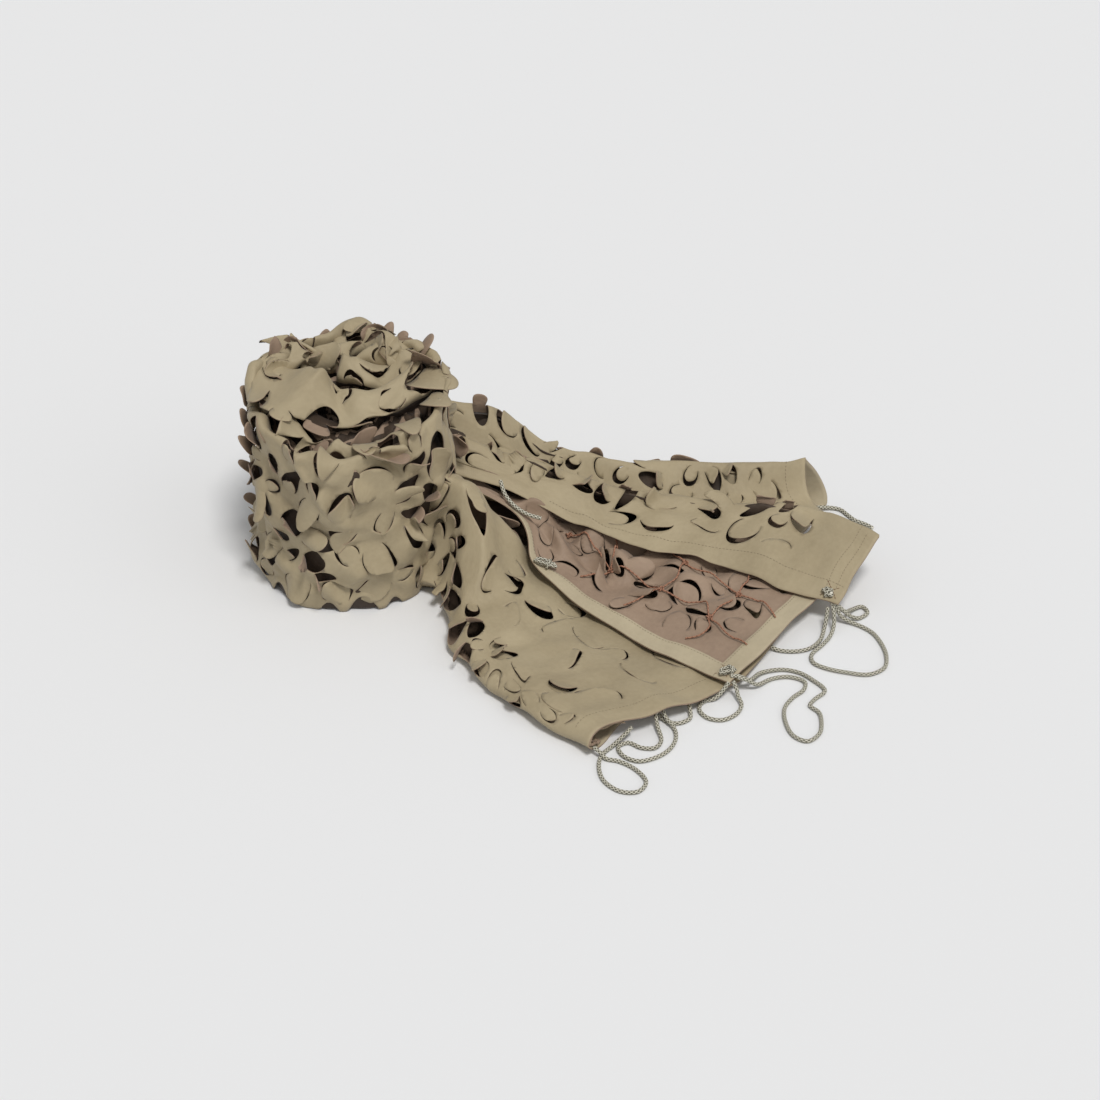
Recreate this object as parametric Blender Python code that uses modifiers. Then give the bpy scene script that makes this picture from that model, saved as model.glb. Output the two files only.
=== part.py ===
"""Leaf-cut camouflage net, rolled up at one end, with its folded loose end spread flat.

Metres, +Z up. The origin is the centre of the roll's flat underside. +X runs from
the roll to the loose end, +Y to the back.
"""

import math
import random

import bmesh
import bpy
import numpy as np
from mathutils import Matrix, Vector
from mathutils.bvhtree import BVHTree
from mathutils.geometry import delaunay_2d_cdt

MM = 0.001

# The cloth and its cuts.
CLOTH_THICKNESS = 0.002
FLOOR_GAP = 0.0005
CLOTH_COLUMN = 0.045
CLOTH_ROWS = 16
GAP_LENGTH = (0.034, 0.062)
GAP_WIDTH = (0.007, 0.011)
GAP_ARCH = 0.34
GAP_SPACING = 0.050
GAP_ROW_SPACING = 0.041
GAP_SHIFT = (0.006, 0.008)
GAP_MARGIN = 0.036
GAP_REACH_SHARE = 0.92
HEM_CLEAR = 0.02
FOLD_LINE_CLEAR = 0.017
FOLD_CLEAR = 0.012
GRID_CLEAR = 0.009
SEED = 7

# The roll. Ring radii on its base and top are shares of its radius.
ROLL_RADIUS = 0.126
ROLL_FRONT_HEIGHT = 0.238
ROLL_BACK_HEIGHT = 0.276
TURN_PITCH = 0.031
TURN_RELIEF = 0.013
TOP_SWAY = (0.006, 0.004)
WALL_SWELL = 0.005
ROLL_SIDES = 60
BASE_RINGS = (0.45, 0.93)
WALL_RINGS = (0.008, 0.03, 0.06, 0.095, 0.13, 0.165, 0.195)
RIM_RING = 0.985
RIM_DROP = 0.012
TOP_RINGS = (0.93, 0.82, 0.7, 0.58, 0.46, 0.34, 0.22, 0.1)
TOP_LEVEL = 0.2
FLAP_THICKNESS = 0.002
FLAP_ROOT = 0.007
LEAF_CUP = 0.18
# A leaf from its root, which lies inside the roll, to its tip: share of its length,
# half width as a share of its width, and share of its lean.
LEAF_SHAPE = (
    (-0.10, 0.24, 1.2), (0.12, 0.30, 1.0), (0.36, 0.50, 0.5), (0.66, 0.50, 0.7),
    (0.88, 0.34, 0.9), (1.0, 0.12, 1.0),
)

# Cords and strings.
CORD_DIAMETER = 0.0052
STRING_DIAMETER = 0.0026
STRING_LIFT = 0.0046
STRING_STEP = 0.012
STRING_KNOT_RADIUS = 0.0030
POINT_SPACING = 0.014
CORD_FLOOR_GAP = 0.0002

# The fold lines of the loose end, across the cloth from one long edge to the other.
# Each row is one line. Its columns are stations along the cloth, from inside the
# roll to the end hem, as x, y, z in mm.
STATION_AT = (0.0, 0.075, 0.155, 0.235, 0.335, 0.425, 0.505)
FOLD_LINES = (
    # name, in the roll, at the roll, shoulder, slope, middle, spread, end hem
    ("front_edge", (106, 2, 116), (206, -32, 80), (232, -82, 48), (277, -132, 31),
     (350, -204, 22), (413, -255, 21), (473, -300, 21)),
    ("hidden_fold", (98, 25, 104), (232, 36, 64), (318, 26, 36), (396, 14, 25),
     (488, 0, 21), (570, -26, 21), (640, -58, 22)),
    ("under_edge", (92, 2, 76), (194, -20, 48), (252, -50, 24), (300, -98, 13),
     (375, -164, 10), (438, -220, 10), (494, -274, 10)),
    ("front_swell", (72, -52, 112), (150, -64, 132), (172, -120, 66), (206, -186, 34),
     (262, -250, 26), (325, -306, 26), (386, -362, 27)),
    ("front_fold", (58, -80, 22), (113, -98, 22), (123, -162, 20), (140, -232, 17),
     (188, -306, 15), (240, -366, 16), (300, -420, 18)),
    ("back_foot", (70, 84, 3), (186, 116, 3), (268, 121, 3), (350, 125, 3),
     (445, 128, 3), (535, 126, 3), (619, 120, 3)),
    ("back_ridge", (78, 80, 204), (185, 107, 154), (258, 103, 107), (332, 98, 89),
     (422, 110, 77), (510, 110, 72), (588, 106, 84)),
    ("valley", (84, 58, 172), (190, 72, 122), (262, 70, 76), (338, 66, 52),
     (430, 68, 42), (515, 74, 40), (594, 72, 46)),
    ("crest", (92, 40, 164), (214, 44, 126), (335, 40, 84), (436, 34, 68),
     (526, 26, 64), (607, 8, 67), (671, -59, 75)),
    ("upper_edge", (92, 12, 142), (240, 0, 84), (313, -28, 56), (382, -48, 46),
     (462, -67, 40), (545, -115, 36), (613, -154, 33)),
)
HAIRPINS = {"hidden_fold": 0.010, "front_fold": 0.030}

# Leaf flaps that stand off the roll: angle round it in degrees, height, length and
# width in mm, lean from the wall and turn about the wall's normal in degrees.
WALL_FLAPS = (
    (176, 196, 44, 30, 40, 10), (190, 178, 46, 28, 32, -30), (204, 214, 40, 30, 46, 40),
    (214, 150, 44, 26, 30, 160), (222, 86, 42, 30, 34, 200), (236, 56, 44, 34, 22, 180),
    (244, 118, 40, 28, 26, 120), (252, 180, 46, 34, 18, 200), (262, 64, 44, 32, 20, 170),
    (272, 142, 42, 30, 22, 230), (284, 100, 46, 34, 18, 150), (292, 54, 44, 36, 16, 190),
    (298, 172, 42, 30, 24, 60), (308, 128, 40, 30, 22, 210), (160, 120, 44, 30, 34, 170),
    (146, 176, 42, 28, 36, 30), (132, 84, 44, 32, 30, 190), (118, 150, 42, 30, 34, 140),
    (104, 208, 44, 28, 38, 0), (92, 110, 42, 30, 30, 200), (78, 176, 44, 30, 34, 40),
    (70, 68, 42, 32, 26, 180), (184, 60, 42, 30, 32, 200), (198, 112, 40, 28, 30, 150),
)
TOP_FLAPS = (
    # x, y in mm, length, width in mm, lean from level and heading in degrees
    (42, 88, 44, 32, 55, 60), (14, 96, 38, 26, 62, 110), (70, 62, 44, 32, 42, 10),
    (-28, 64, 46, 32, 30, 150), (-74, 40, 46, 34, 26, 190), (-96, -12, 44, 32, 24, 205),
    (-30, -20, 48, 36, 22, 250), (38, -16, 46, 34, 24, 300), (84, -34, 44, 34, 26, 320),
    (-2, 28, 44, 32, 30, 280), (-60, -64, 44, 32, 24, 235), (24, -72, 46, 34, 20, 275),
)

# Knots of the carrier strings on the cloth's back, x and y in mm, and the strings.
STRING_KNOTS = {
    "a": (278, -11), "b": (331, -80), "c": (393, -117), "d": (426, -66),
    "e": (453, -173), "f": (492, -126),
}
STRINGS = (
    ("a", (304, -30), "b"),
    ("b", (340, -30), (322, 2)),
    ("b", (310, -94), (292, -96)),
    ("b", (365, -92), "c"),
    ("c", (418, -88), "d"),
    ("d", (396, -20), (378, 0)),
    ("d", (466, -92), "f"),
    ("c", (426, -134), (446, -140), "e"),
    ("c", (368, -140), (346, -146)),
    ("e", (476, -148), "f"),
    ("f", (508, -86), (512, -72)),
    ("f", (524, -150), (536, -174)),
    ("e", (448, -206), (422, -214)),
    ("e", (478, -206), (498, -228)),
)

# Cords: each route's points, x, y and z of the cord's middle in mm.
CORDS = {
    "cord_upper_big": (
        (622, -146, 10), (640, -152, 3), (658, -168, 3), (668, -190, 3), (673, -219, 3),
        (668, -244, 3), (648, -257, 3), (622, -253, 3), (596, -244, 3), (581, -232, 3),
        (580, -216, 3), (594, -196, 3), (604, -180, 3), (610, -166, 8),
    ),
    "cord_upper_small": (
        (626, -140, 14), (636, -124, 6), (650, -114, 3), (656, -126, 3), (646, -138, 3),
        (634, -142, 8),
    ),
    "cord_upper_back": (
        (598, -168, 6), (592, -186, 3), (578, -203, 3), (560, -209, 3), (540, -207, 3),
    ),
    "cord_lower_big": (
        (499, -280, 12), (515, -256, 5), (541, -247, 3), (562, -253, 3), (578, -268, 3),
        (592, -290, 3), (578, -308, 3), (572, -320, 3), (582, -334, 3), (584, -352, 3),
        (580, -376, 3), (565, -391, 3), (549, -381, 3), (540, -352, 3), (541, -324, 3),
        (552, -304, 3), (566, -288, 3), (568, -272, 3), (550, -262, 3), (528, -266, 3),
        (508, -284, 8),
    ),
    "cord_lower_small": (
        (484, -306, 8), (488, -320, 4), (481, -337, 3), (464, -349, 3), (446, -345, 3),
        (436, -328, 3), (442, -312, 3), (456, -308, 5),
    ),
    "cord_middle": (
        (424, -330, 8), (424, -346, 3), (408, -356, 3), (394, -350, 3),
    ),
    "cord_front_eight": (
        (394, -352, 10), (404, -366, 4), (406, -384, 3), (398, -406, 3), (382, -422, 3),
        (360, -430, 3), (342, -420, 3), (336, -402, 3), (348, -394, 3), (364, -404, 3),
        (380, -404, 3), (388, -390, 3), (384, -368, 8),
    ),
    "cord_front_loop": (
        (346, -386, 12), (330, -400, 4), (316, -418, 3), (312, -440, 3), (318, -468, 3),
        (338, -488, 3), (358, -488, 3), (368, -470, 3), (356, -446, 3), (336, -430, 3),
        (322, -426, 3),
    ),
    "cord_back": (
        (594, 100, 8), (608, 104, 7), (622, 108, 4), (636, 105, 3), (645, 93, 3),
        (654, 80, 3), (668, 70, 3),
    ),
    "cord_apex": (
        (190, 2, 118), (196, -14, 108), (208, -24, 97), (224, -28, 87), (242, -28, 80),
    ),
}
# Wraps of cord on a hem: the layer they lie on, the middle's x and y in mm, length
# in mm and heading in degrees.
WRAPS = {
    "wrap_lower_corner": ("back layer", (472, -282), 24, 28),
    "wrap_upper_corner": ("upper flap", (603, -138), 18, -50),
    "wrap_front_edge": ("back layer", (248, -84), 32, -14),
}
WRAP_TURNS = 5
WRAP_SIDES = 8
WRAP_RADIUS = 0.0042
WRAP_RIDGE = 0.0011
WRAP_BROAD = 1.25
WRAP_FLAT = 0.8
WRAP_CLEAR = 0.0019

COLOURS = {
    "net": (0.39, 0.335, 0.24, 1.0),
    "string": (0.33, 0.14, 0.085, 1.0),
    "cord": (0.42, 0.40, 0.31, 1.0),
}


def clear_scene():
    for obj in list(bpy.data.objects):
        bpy.data.objects.remove(obj, do_unlink=True)


def new_collection(name):
    collection = bpy.data.collections.new(name)
    bpy.context.scene.collection.children.link(collection)
    return collection


def cloth_material(name, colour, roughness):
    material = bpy.data.materials.new(name)
    material.use_nodes = True
    shader = material.node_tree.nodes["Principled BSDF"]
    shader.inputs["Base Color"].default_value = colour
    shader.inputs["Roughness"].default_value = roughness
    shader.inputs["Metallic"].default_value = 0.0
    return material


def add_mesh(name, verts, faces, material, collection):
    mesh = bpy.data.meshes.new(name)
    mesh.from_pydata([tuple(v) for v in verts], [], faces)
    mesh.validate()
    obj = bpy.data.objects.new(name, mesh)
    if material is not None:
        mesh.materials.append(material)
    collection.objects.link(obj)
    return obj


# ---------------------------------------------------------------- the folded sheet


def catmull(p0, p1, p2, p3, k0, k1, k2, k3, at):
    """The curve through p1 and p2 at the knot value at, for arrays of points."""
    def mix(a, b, ka, kb):
        share = ((at - ka) / (kb - ka))[:, None]
        return a * (1 - share) + b * share

    a = mix(p0, p1, k0, k1)
    b = mix(p1, p2, k1, k2)
    c = mix(p2, p3, k2, k3)
    d = mix(a, b, k0, k2)
    e = mix(b, c, k1, k3)
    return mix(d, e, k1, k2)


def along_knots(points, knots, at):
    """Points (count, knots, 3) read at one knot value each, by a smooth curve."""
    first = 2 * points[:, :1] - points[:, 1:2]
    last = 2 * points[:, -1:] - points[:, -2:-1]
    points = np.concatenate([first, points, last], axis=1)
    knots = np.concatenate([[2 * knots[0] - knots[1]], knots, [2 * knots[-1] - knots[-2]]])
    i = np.clip(np.searchsorted(knots, at, side="right") - 1, 1, len(knots) - 3)
    row = np.arange(len(at))
    corners = [points[row, i + k] for k in (-1, 0, 1, 2)]
    return catmull(*corners, *(knots[i + k] for k in (-1, 0, 1, 2)), at)


class FoldedSheet:
    """The loose end's middle surface, as a function of the flat cloth's (u, v)."""

    def __init__(self):
        self.names = [row[0] for row in FOLD_LINES]
        self.lines = np.array([row[1:] for row in FOLD_LINES], float) * MM
        self.stations = np.array(STATION_AT)
        self.length = STATION_AT[-1]
        end = self.section(np.array([self.length]))[0]
        steps = np.linalg.norm(np.diff(end, axis=0), axis=1)
        self.u_at = np.concatenate([[0], np.cumsum(steps)])
        self.knots = np.concatenate([[0], np.cumsum(np.sqrt(steps))])
        self.width = self.u_at[-1]
        self.hairpin_u = []
        at = 0
        for name in self.names:
            if name in HAIRPINS:
                self.hairpin_u.append(self.u_at[at + 1])
                at += 2
            at += 1

    def section(self, v):
        """The control points across the cloth at each v, with each hairpin's three."""
        count, rows = len(v), []
        for line in self.lines:
            points = np.repeat(line[None], count, axis=0)
            rows.append(along_knots(points, self.stations, v))
        out = []
        for i, (name, row) in enumerate(zip(self.names, rows)):
            if name not in HAIRPINS:
                out.append(row)
                continue
            half = HAIRPINS[name] / 2
            before, after = rows[i - 1], rows[i + 1]
            inward = (before + after) / 2 - row
            inward[:, 2] = 0
            inward /= np.linalg.norm(inward, axis=1)[:, None]
            rise = np.array([0.0, 0.0, 1.0])
            if name == "front_fold":
                low = row * [1, 1, 0] + [0, 0, CLOTH_THICKNESS / 2 + FLOOR_GAP]
                high = row + rise * half * 0.8
                out += [high + inward * half * 1.1, row - inward * 0.001, low + inward * half]
            else:
                out += [row + rise * half + inward * half, row, row - rise * half + inward * half]
        return np.stack(out, axis=1)

    def point(self, u, v):
        """World points of the flat cloth's points, as an array (count, 3)."""
        u, v = np.asarray(u, float), np.asarray(v, float)
        knot = np.interp(u, self.u_at, self.knots)
        places = along_knots(self.section(v), self.knots, knot)
        places[:, 2] = np.maximum(places[:, 2], CLOTH_THICKNESS / 2 + FLOOR_GAP)
        return places

    def frame(self, u, v, step=0.004):
        """The change of place with u and with v at one point, as two vectors."""
        us = np.clip([u - step, u + step], 0, self.width)
        vs = np.clip([v - step, v + step], 0, self.length)
        across = self.point(us, [v, v])
        along = self.point([u, u], vs)
        return (across[1] - across[0]) / np.ptp(us), (along[1] - along[0]) / np.ptp(vs)

    def patch(self, u, v, offsets):
        """The flat (u, v) of points given in world metres round one place of the cloth."""
        du, dv = self.frame(u, v)
        first = du / np.linalg.norm(du)
        normal = np.cross(du, dv)
        second = np.cross(normal, first)
        second /= np.linalg.norm(second)
        matrix = np.array([[du @ first, dv @ first], [du @ second, dv @ second]])
        return np.linalg.solve(matrix, np.asarray(offsets).T).T + [u, v]


def crescent(length, width, turn):
    """A gap's outline, counterclockwise: an outer arc and a flatter inner one."""
    outer, inner = [], []
    rise = length * GAP_ARCH
    for i in range(5):
        angle = math.pi * i / 4
        outer.append((-math.cos(angle) * length / 2, math.sin(angle) * rise))
    for i in (3, 2, 1):
        angle = math.pi * i / 4
        inner.append((-math.cos(angle) * length * 0.45, math.sin(angle) * (rise - width)))
    c, s = math.cos(turn), math.sin(turn)
    return [(x * c - y * s, x * s + y * c) for x, y in reversed(outer + inner)]


def gap_places(sheet, rng):
    """Seeded places for the gaps, in rows along the cloth and clear of its folds."""
    first = STATION_AT[1] + 0.01
    last = sheet.length - GAP_MARGIN
    folds = sheet.u_at[1:-1]
    spots = []
    rows = int((last - first) / GAP_ROW_SPACING)
    for j in range(rows + 1):
        v = first + (last - first) * j / rows
        u = GAP_MARGIN + (GAP_SPACING / 2 if j % 2 else 0)
        while u < sheet.width - GAP_MARGIN:
            du, _ = sheet.frame(u, v)
            near_u = u + rng.uniform(-1, 1) * GAP_SHIFT[0]
            near_v = min(v + rng.uniform(-1, 1) * GAP_SHIFT[1], last)
            if np.min(np.abs(folds - near_u)) > FOLD_LINE_CLEAR:
                spots.append((near_u, near_v))
            u += GAP_SPACING / max(np.linalg.norm(du), 0.35)
    return spots


def gap_fits(sheet, gap):
    """Whether a gap lies clear of the hems, the roll and the two hairpin folds."""
    (low_u, low_v), (high_u, high_v) = gap.min(axis=0), gap.max(axis=0)
    on_fold = any(
        low_u - FOLD_CLEAR < fold < high_u + FOLD_CLEAR for fold in sheet.hairpin_u
    )
    return (
        low_u > HEM_CLEAR
        and high_u < sheet.width - HEM_CLEAR
        and high_v < sheet.length - HEM_CLEAR
        and low_v > STATION_AT[1] * 0.7
        and not on_fold
    )


def clear_gaps(sheet):
    """The gaps that fit and lie apart, each with its middle and reach on the cloth."""
    rng = random.Random(SEED)
    clear = []
    for u, v in gap_places(sheet, rng):
        length, width = rng.uniform(*GAP_LENGTH), rng.uniform(*GAP_WIDTH)
        gap = sheet.patch(u, v, crescent(length, width, rng.uniform(0, 2 * math.pi)))
        middle = gap.mean(axis=0)
        reach = np.max(np.linalg.norm(gap - middle, axis=1))
        apart = all(
            np.linalg.norm(middle - other) > (reach + far) * GAP_REACH_SHARE
            for _, other, far in clear
        )
        if apart and gap_fits(sheet, gap):
            clear.append((gap, middle, reach))
    return clear


def near_gap(place, gaps):
    """Whether a grid point lies in or close beside a gap."""
    return any(
        np.linalg.norm(place - middle) < reach
        and np.min(np.linalg.norm(gap - place, axis=1)) < GRID_CLEAR
        for gap, middle, reach in gaps
    )


def cut_sheet(sheet):
    """The folded cloth's points, its triangles without the gaps, and the gap count."""
    u_lines = []
    for a, b in zip(sheet.u_at[:-1], sheet.u_at[1:]):
        parts = max(1, round((b - a) / CLOTH_COLUMN))
        u_lines += [a + (b - a) * k / parts for k in range(parts)]
    u_lines.append(sheet.width)
    v_lines = np.linspace(0, sheet.length, CLOTH_ROWS + 1)
    gaps = clear_gaps(sheet)
    columns, rows = len(u_lines), len(v_lines)
    corner, last = columns - 1, columns * (rows - 1)
    border = (
        list(range(corner + 1))
        + [k * columns + corner for k in range(1, rows)]
        + list(range(last + corner - 1, last - 1, -1))
        + [k * columns for k in range(rows - 2, 0, -1)]
    )
    edge = set(border)
    points, index = [], {}
    for k, place in enumerate((u, v) for v in v_lines for u in u_lines):
        if k in edge or not near_gap(np.array(place), gaps):
            index[k] = len(points)
            points.append(Vector(place))
    loops = [[index[k] for k in border]]
    for gap, _, _ in gaps:
        loops.append(list(range(len(points), len(points) + len(gap))))
        points += [Vector(p) for p in gap]
    flat, _, faces, _, _, face_ids = delaunay_2d_cdt(points, [], loops, 0, 1e-7)
    cloth = [face for face, ids in zip(faces, face_ids) if ids == [0]]
    kept = sorted({k for face in cloth for k in face})
    place = {k: i for i, k in enumerate(kept)}
    cloth = [tuple(place[k] for k in face) for face in cloth]
    flat = np.array([tuple(flat[k]) for k in kept])
    return sheet.point(flat[:, 0], flat[:, 1]), cloth, len(gaps)


def surface_tree(sheet, first_u, last_u):
    """A tree of the uncut cloth between two widths, to lay strings and cords on."""
    across, along = 24, 40
    us = np.linspace(first_u, last_u, across + 1)
    vs = np.linspace(0, sheet.length, along + 1)
    grid_u, grid_v = np.meshgrid(us, vs)
    points = sheet.point(grid_u.ravel(), grid_v.ravel())
    faces = []
    for row in range(along):
        for column in range(across):
            a = row * (across + 1) + column
            faces.append((a, a + 1, a + across + 2, a + across + 1))
    return BVHTree.FromPolygons([Vector(p) for p in points], faces)


def height_on(tree, x, y, otherwise):
    """The cloth's height under a place, or otherwise's where there is none."""
    hit = tree.ray_cast(Vector((x, y, 0.4)), Vector((0, 0, -1)))[0]
    return otherwise if hit is None else hit.z


# ------------------------------------------------------------------------ the roll


def roll_top(x, y):
    """The height of the roll's top at a place, with the ridges of its turns."""
    share = (y + ROLL_RADIUS) / (2 * ROLL_RADIUS)
    level = ROLL_FRONT_HEIGHT + (ROLL_BACK_HEIGHT - ROLL_FRONT_HEIGHT) * share
    radius, angle = math.hypot(x, y), math.atan2(y, x)
    phase = radius / TURN_PITCH - angle / (2 * math.pi)
    ridge = TURN_RELIEF * (math.cos(2 * math.pi * phase) - 1) * 0.5
    wide, fine = TOP_SWAY
    sway = wide * math.sin(3 * angle + radius * 40) + fine * math.sin(5 * angle)
    return level + ridge + sway


def roll_wall(angle, height):
    """The wound wall's radius at an angle and height, uneven as the layers are."""
    swell = math.sin(3 * angle + 0.6) + 0.7 * math.sin(5 * angle + height * 22)
    waist = -0.6 * math.cos(height * 26 + angle)
    return ROLL_RADIUS + WALL_SWELL * (swell + waist) * 0.5


def make_roll(collection):
    """The wound form: rings on the flat base, up the wall and in over the top."""
    angles = [2 * math.pi * step / ROLL_SIDES for step in range(ROLL_SIDES)]
    verts = []

    def add_ring(radius_at, height_at):
        for angle in angles:
            radius = radius_at(angle)
            x, y = radius * math.cos(angle), radius * math.sin(angle)
            verts.append((x, y, height_at(x, y)))

    for share in BASE_RINGS:
        add_ring(lambda angle: ROLL_RADIUS * share, lambda x, y: 0.0)
    for height in WALL_RINGS:
        add_ring(lambda angle: roll_wall(angle, height), lambda x, y: height)
    add_ring(lambda angle: roll_wall(angle, TOP_LEVEL) * RIM_RING,
             lambda x, y: roll_top(x, y) - RIM_DROP)
    for share in TOP_RINGS:
        add_ring(lambda angle: roll_wall(angle, TOP_LEVEL) * share, roll_top)
    rings = len(verts) // ROLL_SIDES
    faces = []
    for ring in range(rings - 1):
        for k in range(ROLL_SIDES):
            a, b = ring * ROLL_SIDES + k, ring * ROLL_SIDES + (k + 1) % ROLL_SIDES
            faces.append((a, b, b + ROLL_SIDES, a + ROLL_SIDES))
    bottom, top = len(verts), len(verts) + 1
    verts += [(0, 0, 0), (0, 0, roll_top(0, 0))]
    final = (rings - 1) * ROLL_SIDES
    for k in range(ROLL_SIDES):
        after = (k + 1) % ROLL_SIDES
        faces.append((after, k, bottom))
        faces.append((final + k, final + after, top))
    return add_mesh("roll_form", verts, faces, None, collection)


def strip_faces(rows):
    """The faces of a closed strip, three points wide and two deep at each row."""
    faces = []
    for r in range(rows - 1):
        a, b = r * 6, r * 6 + 6
        for e in (0, 2):
            faces.append((a + e, b + e, b + e + 2, a + e + 2))
            faces.append((a + e + 3, b + e + 3, b + e + 1, a + e + 1))
        faces.append((a + 1, b + 1, b, a))
        faces.append((a + 4, b + 4, b + 5, a + 5))
    last = (rows - 1) * 6
    for e in (0, 2):
        faces.append((e, e + 2, e + 3, e + 1))
        faces.append((last + e + 1, last + e + 3, last + e + 2, last + e))
    return faces


def leaf_flap(name, root, ahead, out, length, width, lean, collection):
    """A thin leaf that starts inside the roll and curls off it towards its tip."""
    side = ahead.cross(out)
    place = root.copy()
    verts = []
    at = LEAF_SHAPE[0][0]
    for share, half, bend in LEAF_SHAPE:
        angle = math.radians(lean * bend)
        along = ahead * math.cos(angle) + out * math.sin(angle)
        normal = out * math.cos(angle) - ahead * math.sin(angle)
        place = place + along * (share - at) * length
        at = share
        for edge in (-1, 0, 1):
            cup = LEAF_CUP * half * width * abs(edge)
            middle = place + side * half * width * edge - normal * cup
            verts.append(middle + normal * FLAP_THICKNESS / 2)
            verts.append(middle - normal * FLAP_THICKNESS / 2)
    obj = add_mesh(name, verts, strip_faces(len(LEAF_SHAPE)), None, collection)
    face_out(obj.data)
    return obj


def face_out(mesh):
    fix = bmesh.new()
    fix.from_mesh(mesh)
    bmesh.ops.recalc_face_normals(fix, faces=fix.faces)
    fix.to_mesh(mesh)
    fix.free()


def make_flaps(collection):
    flaps = []
    up = Vector((0, 0, 1))
    for i, (angle, height, length, width, lean, turn) in enumerate(WALL_FLAPS):
        angle, turn = math.radians(angle), math.radians(turn)
        out = Vector((math.cos(angle), math.sin(angle), 0))
        ahead = up * math.cos(turn) + up.cross(out) * math.sin(turn)
        root = out * (roll_wall(angle, height * MM) - FLAP_ROOT) + up * height * MM
        flaps.append(leaf_flap(f"wall_flap_{i}", root, ahead, out,
                               length * MM, width * MM, lean, collection))
    for i, (x, y, length, width, lean, heading) in enumerate(TOP_FLAPS):
        heading = math.radians(heading)
        ahead = Vector((math.cos(heading), math.sin(heading), 0))
        root = Vector((x * MM, y * MM, roll_top(x * MM, y * MM) - FLAP_ROOT))
        flaps.append(leaf_flap(f"top_flap_{i}", root, ahead, up,
                               length * MM, width * MM, lean, collection))
    return flaps


def evaluated_mesh(obj):
    return bpy.data.meshes.new_from_object(
        obj.evaluated_get(bpy.context.evaluated_depsgraph_get())
    )


def join_solids(base, others):
    """A solid united with others, as one mesh."""
    pile = new_collection("joined_cutters")
    for other in others:
        for home in list(other.users_collection):
            home.objects.unlink(other)
        pile.objects.link(other)
    union = base.modifiers.new("union", "BOOLEAN")
    union.operation = "UNION"
    union.operand_type = "COLLECTION"
    union.collection = pile
    union.solver = "EXACT"
    mesh = evaluated_mesh(base)
    base.modifiers.remove(union)
    base.data = mesh
    for other in others:
        bpy.data.objects.remove(other, do_unlink=True)
    bpy.data.collections.remove(pile)


def make_net(sheet, material, collection):
    points, faces, gaps = cut_sheet(sheet)
    cloth = add_mesh("net", points, faces, material, collection)
    skin = cloth.modifiers.new("thickness", "SOLIDIFY")
    skin.thickness = CLOTH_THICKNESS
    skin.offset = 0
    skin.use_even_offset = False
    mesh = evaluated_mesh(cloth)
    cloth.modifiers.remove(skin)
    cloth.data = mesh
    roll = make_roll(collection)
    join_solids(roll, make_flaps(collection))
    join_solids(cloth, [roll])
    cloth.data.materials.clear()
    cloth.data.materials.append(material)
    return gaps


# ------------------------------------------------------------------------ the cords


def smooth_route(points, spacing):
    """Evenly spaced points on the smooth curve through a route's points."""
    places = np.array(points, float) * MM
    knots = np.concatenate(
        [[0], np.cumsum(np.sqrt(np.linalg.norm(np.diff(places, axis=0), axis=1)))]
    )
    at = np.linspace(0, knots[-1], 400)
    line = along_knots(np.repeat(places[None], len(at), axis=0), knots, at)
    run = np.concatenate([[0], np.cumsum(np.linalg.norm(np.diff(line, axis=0), axis=1))])
    count = max(3, round(run[-1] / spacing) + 1)
    even = np.linspace(0, run[-1], count)
    route = np.stack([np.interp(even, run, line[:, k]) for k in range(3)], axis=1)
    route[:, 2] = np.maximum(route[:, 2], CORD_DIAMETER / 2 + CORD_FLOOR_GAP)
    return route


def tube(name, points, diameter, material, collection):
    curve = bpy.data.curves.new(name, "CURVE")
    curve.dimensions = "3D"
    curve.bevel_depth = diameter / 2
    curve.bevel_resolution = 2
    curve.use_fill_caps = True
    spline = curve.splines.new("POLY")
    spline.points.add(len(points) - 1)
    for point, place in zip(spline.points, points):
        point.co = (*place, 1.0)
    obj = bpy.data.objects.new(name, curve)
    if material is not None:
        curve.materials.append(material)
    collection.objects.link(obj)
    return obj


def curve_to_mesh(obj, collection):
    """A curve's tube as a closed mesh object, in place of the curve."""
    name, mesh = obj.name, evaluated_mesh(obj)
    bpy.data.objects.remove(obj, do_unlink=True)
    weld = bmesh.new()
    weld.from_mesh(mesh)
    bmesh.ops.remove_doubles(weld, verts=weld.verts, dist=1e-6)
    bmesh.ops.recalc_face_normals(weld, faces=weld.faces)
    weld.to_mesh(mesh)
    weld.free()
    made = bpy.data.objects.new(name, mesh)
    collection.objects.link(made)
    return made


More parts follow.
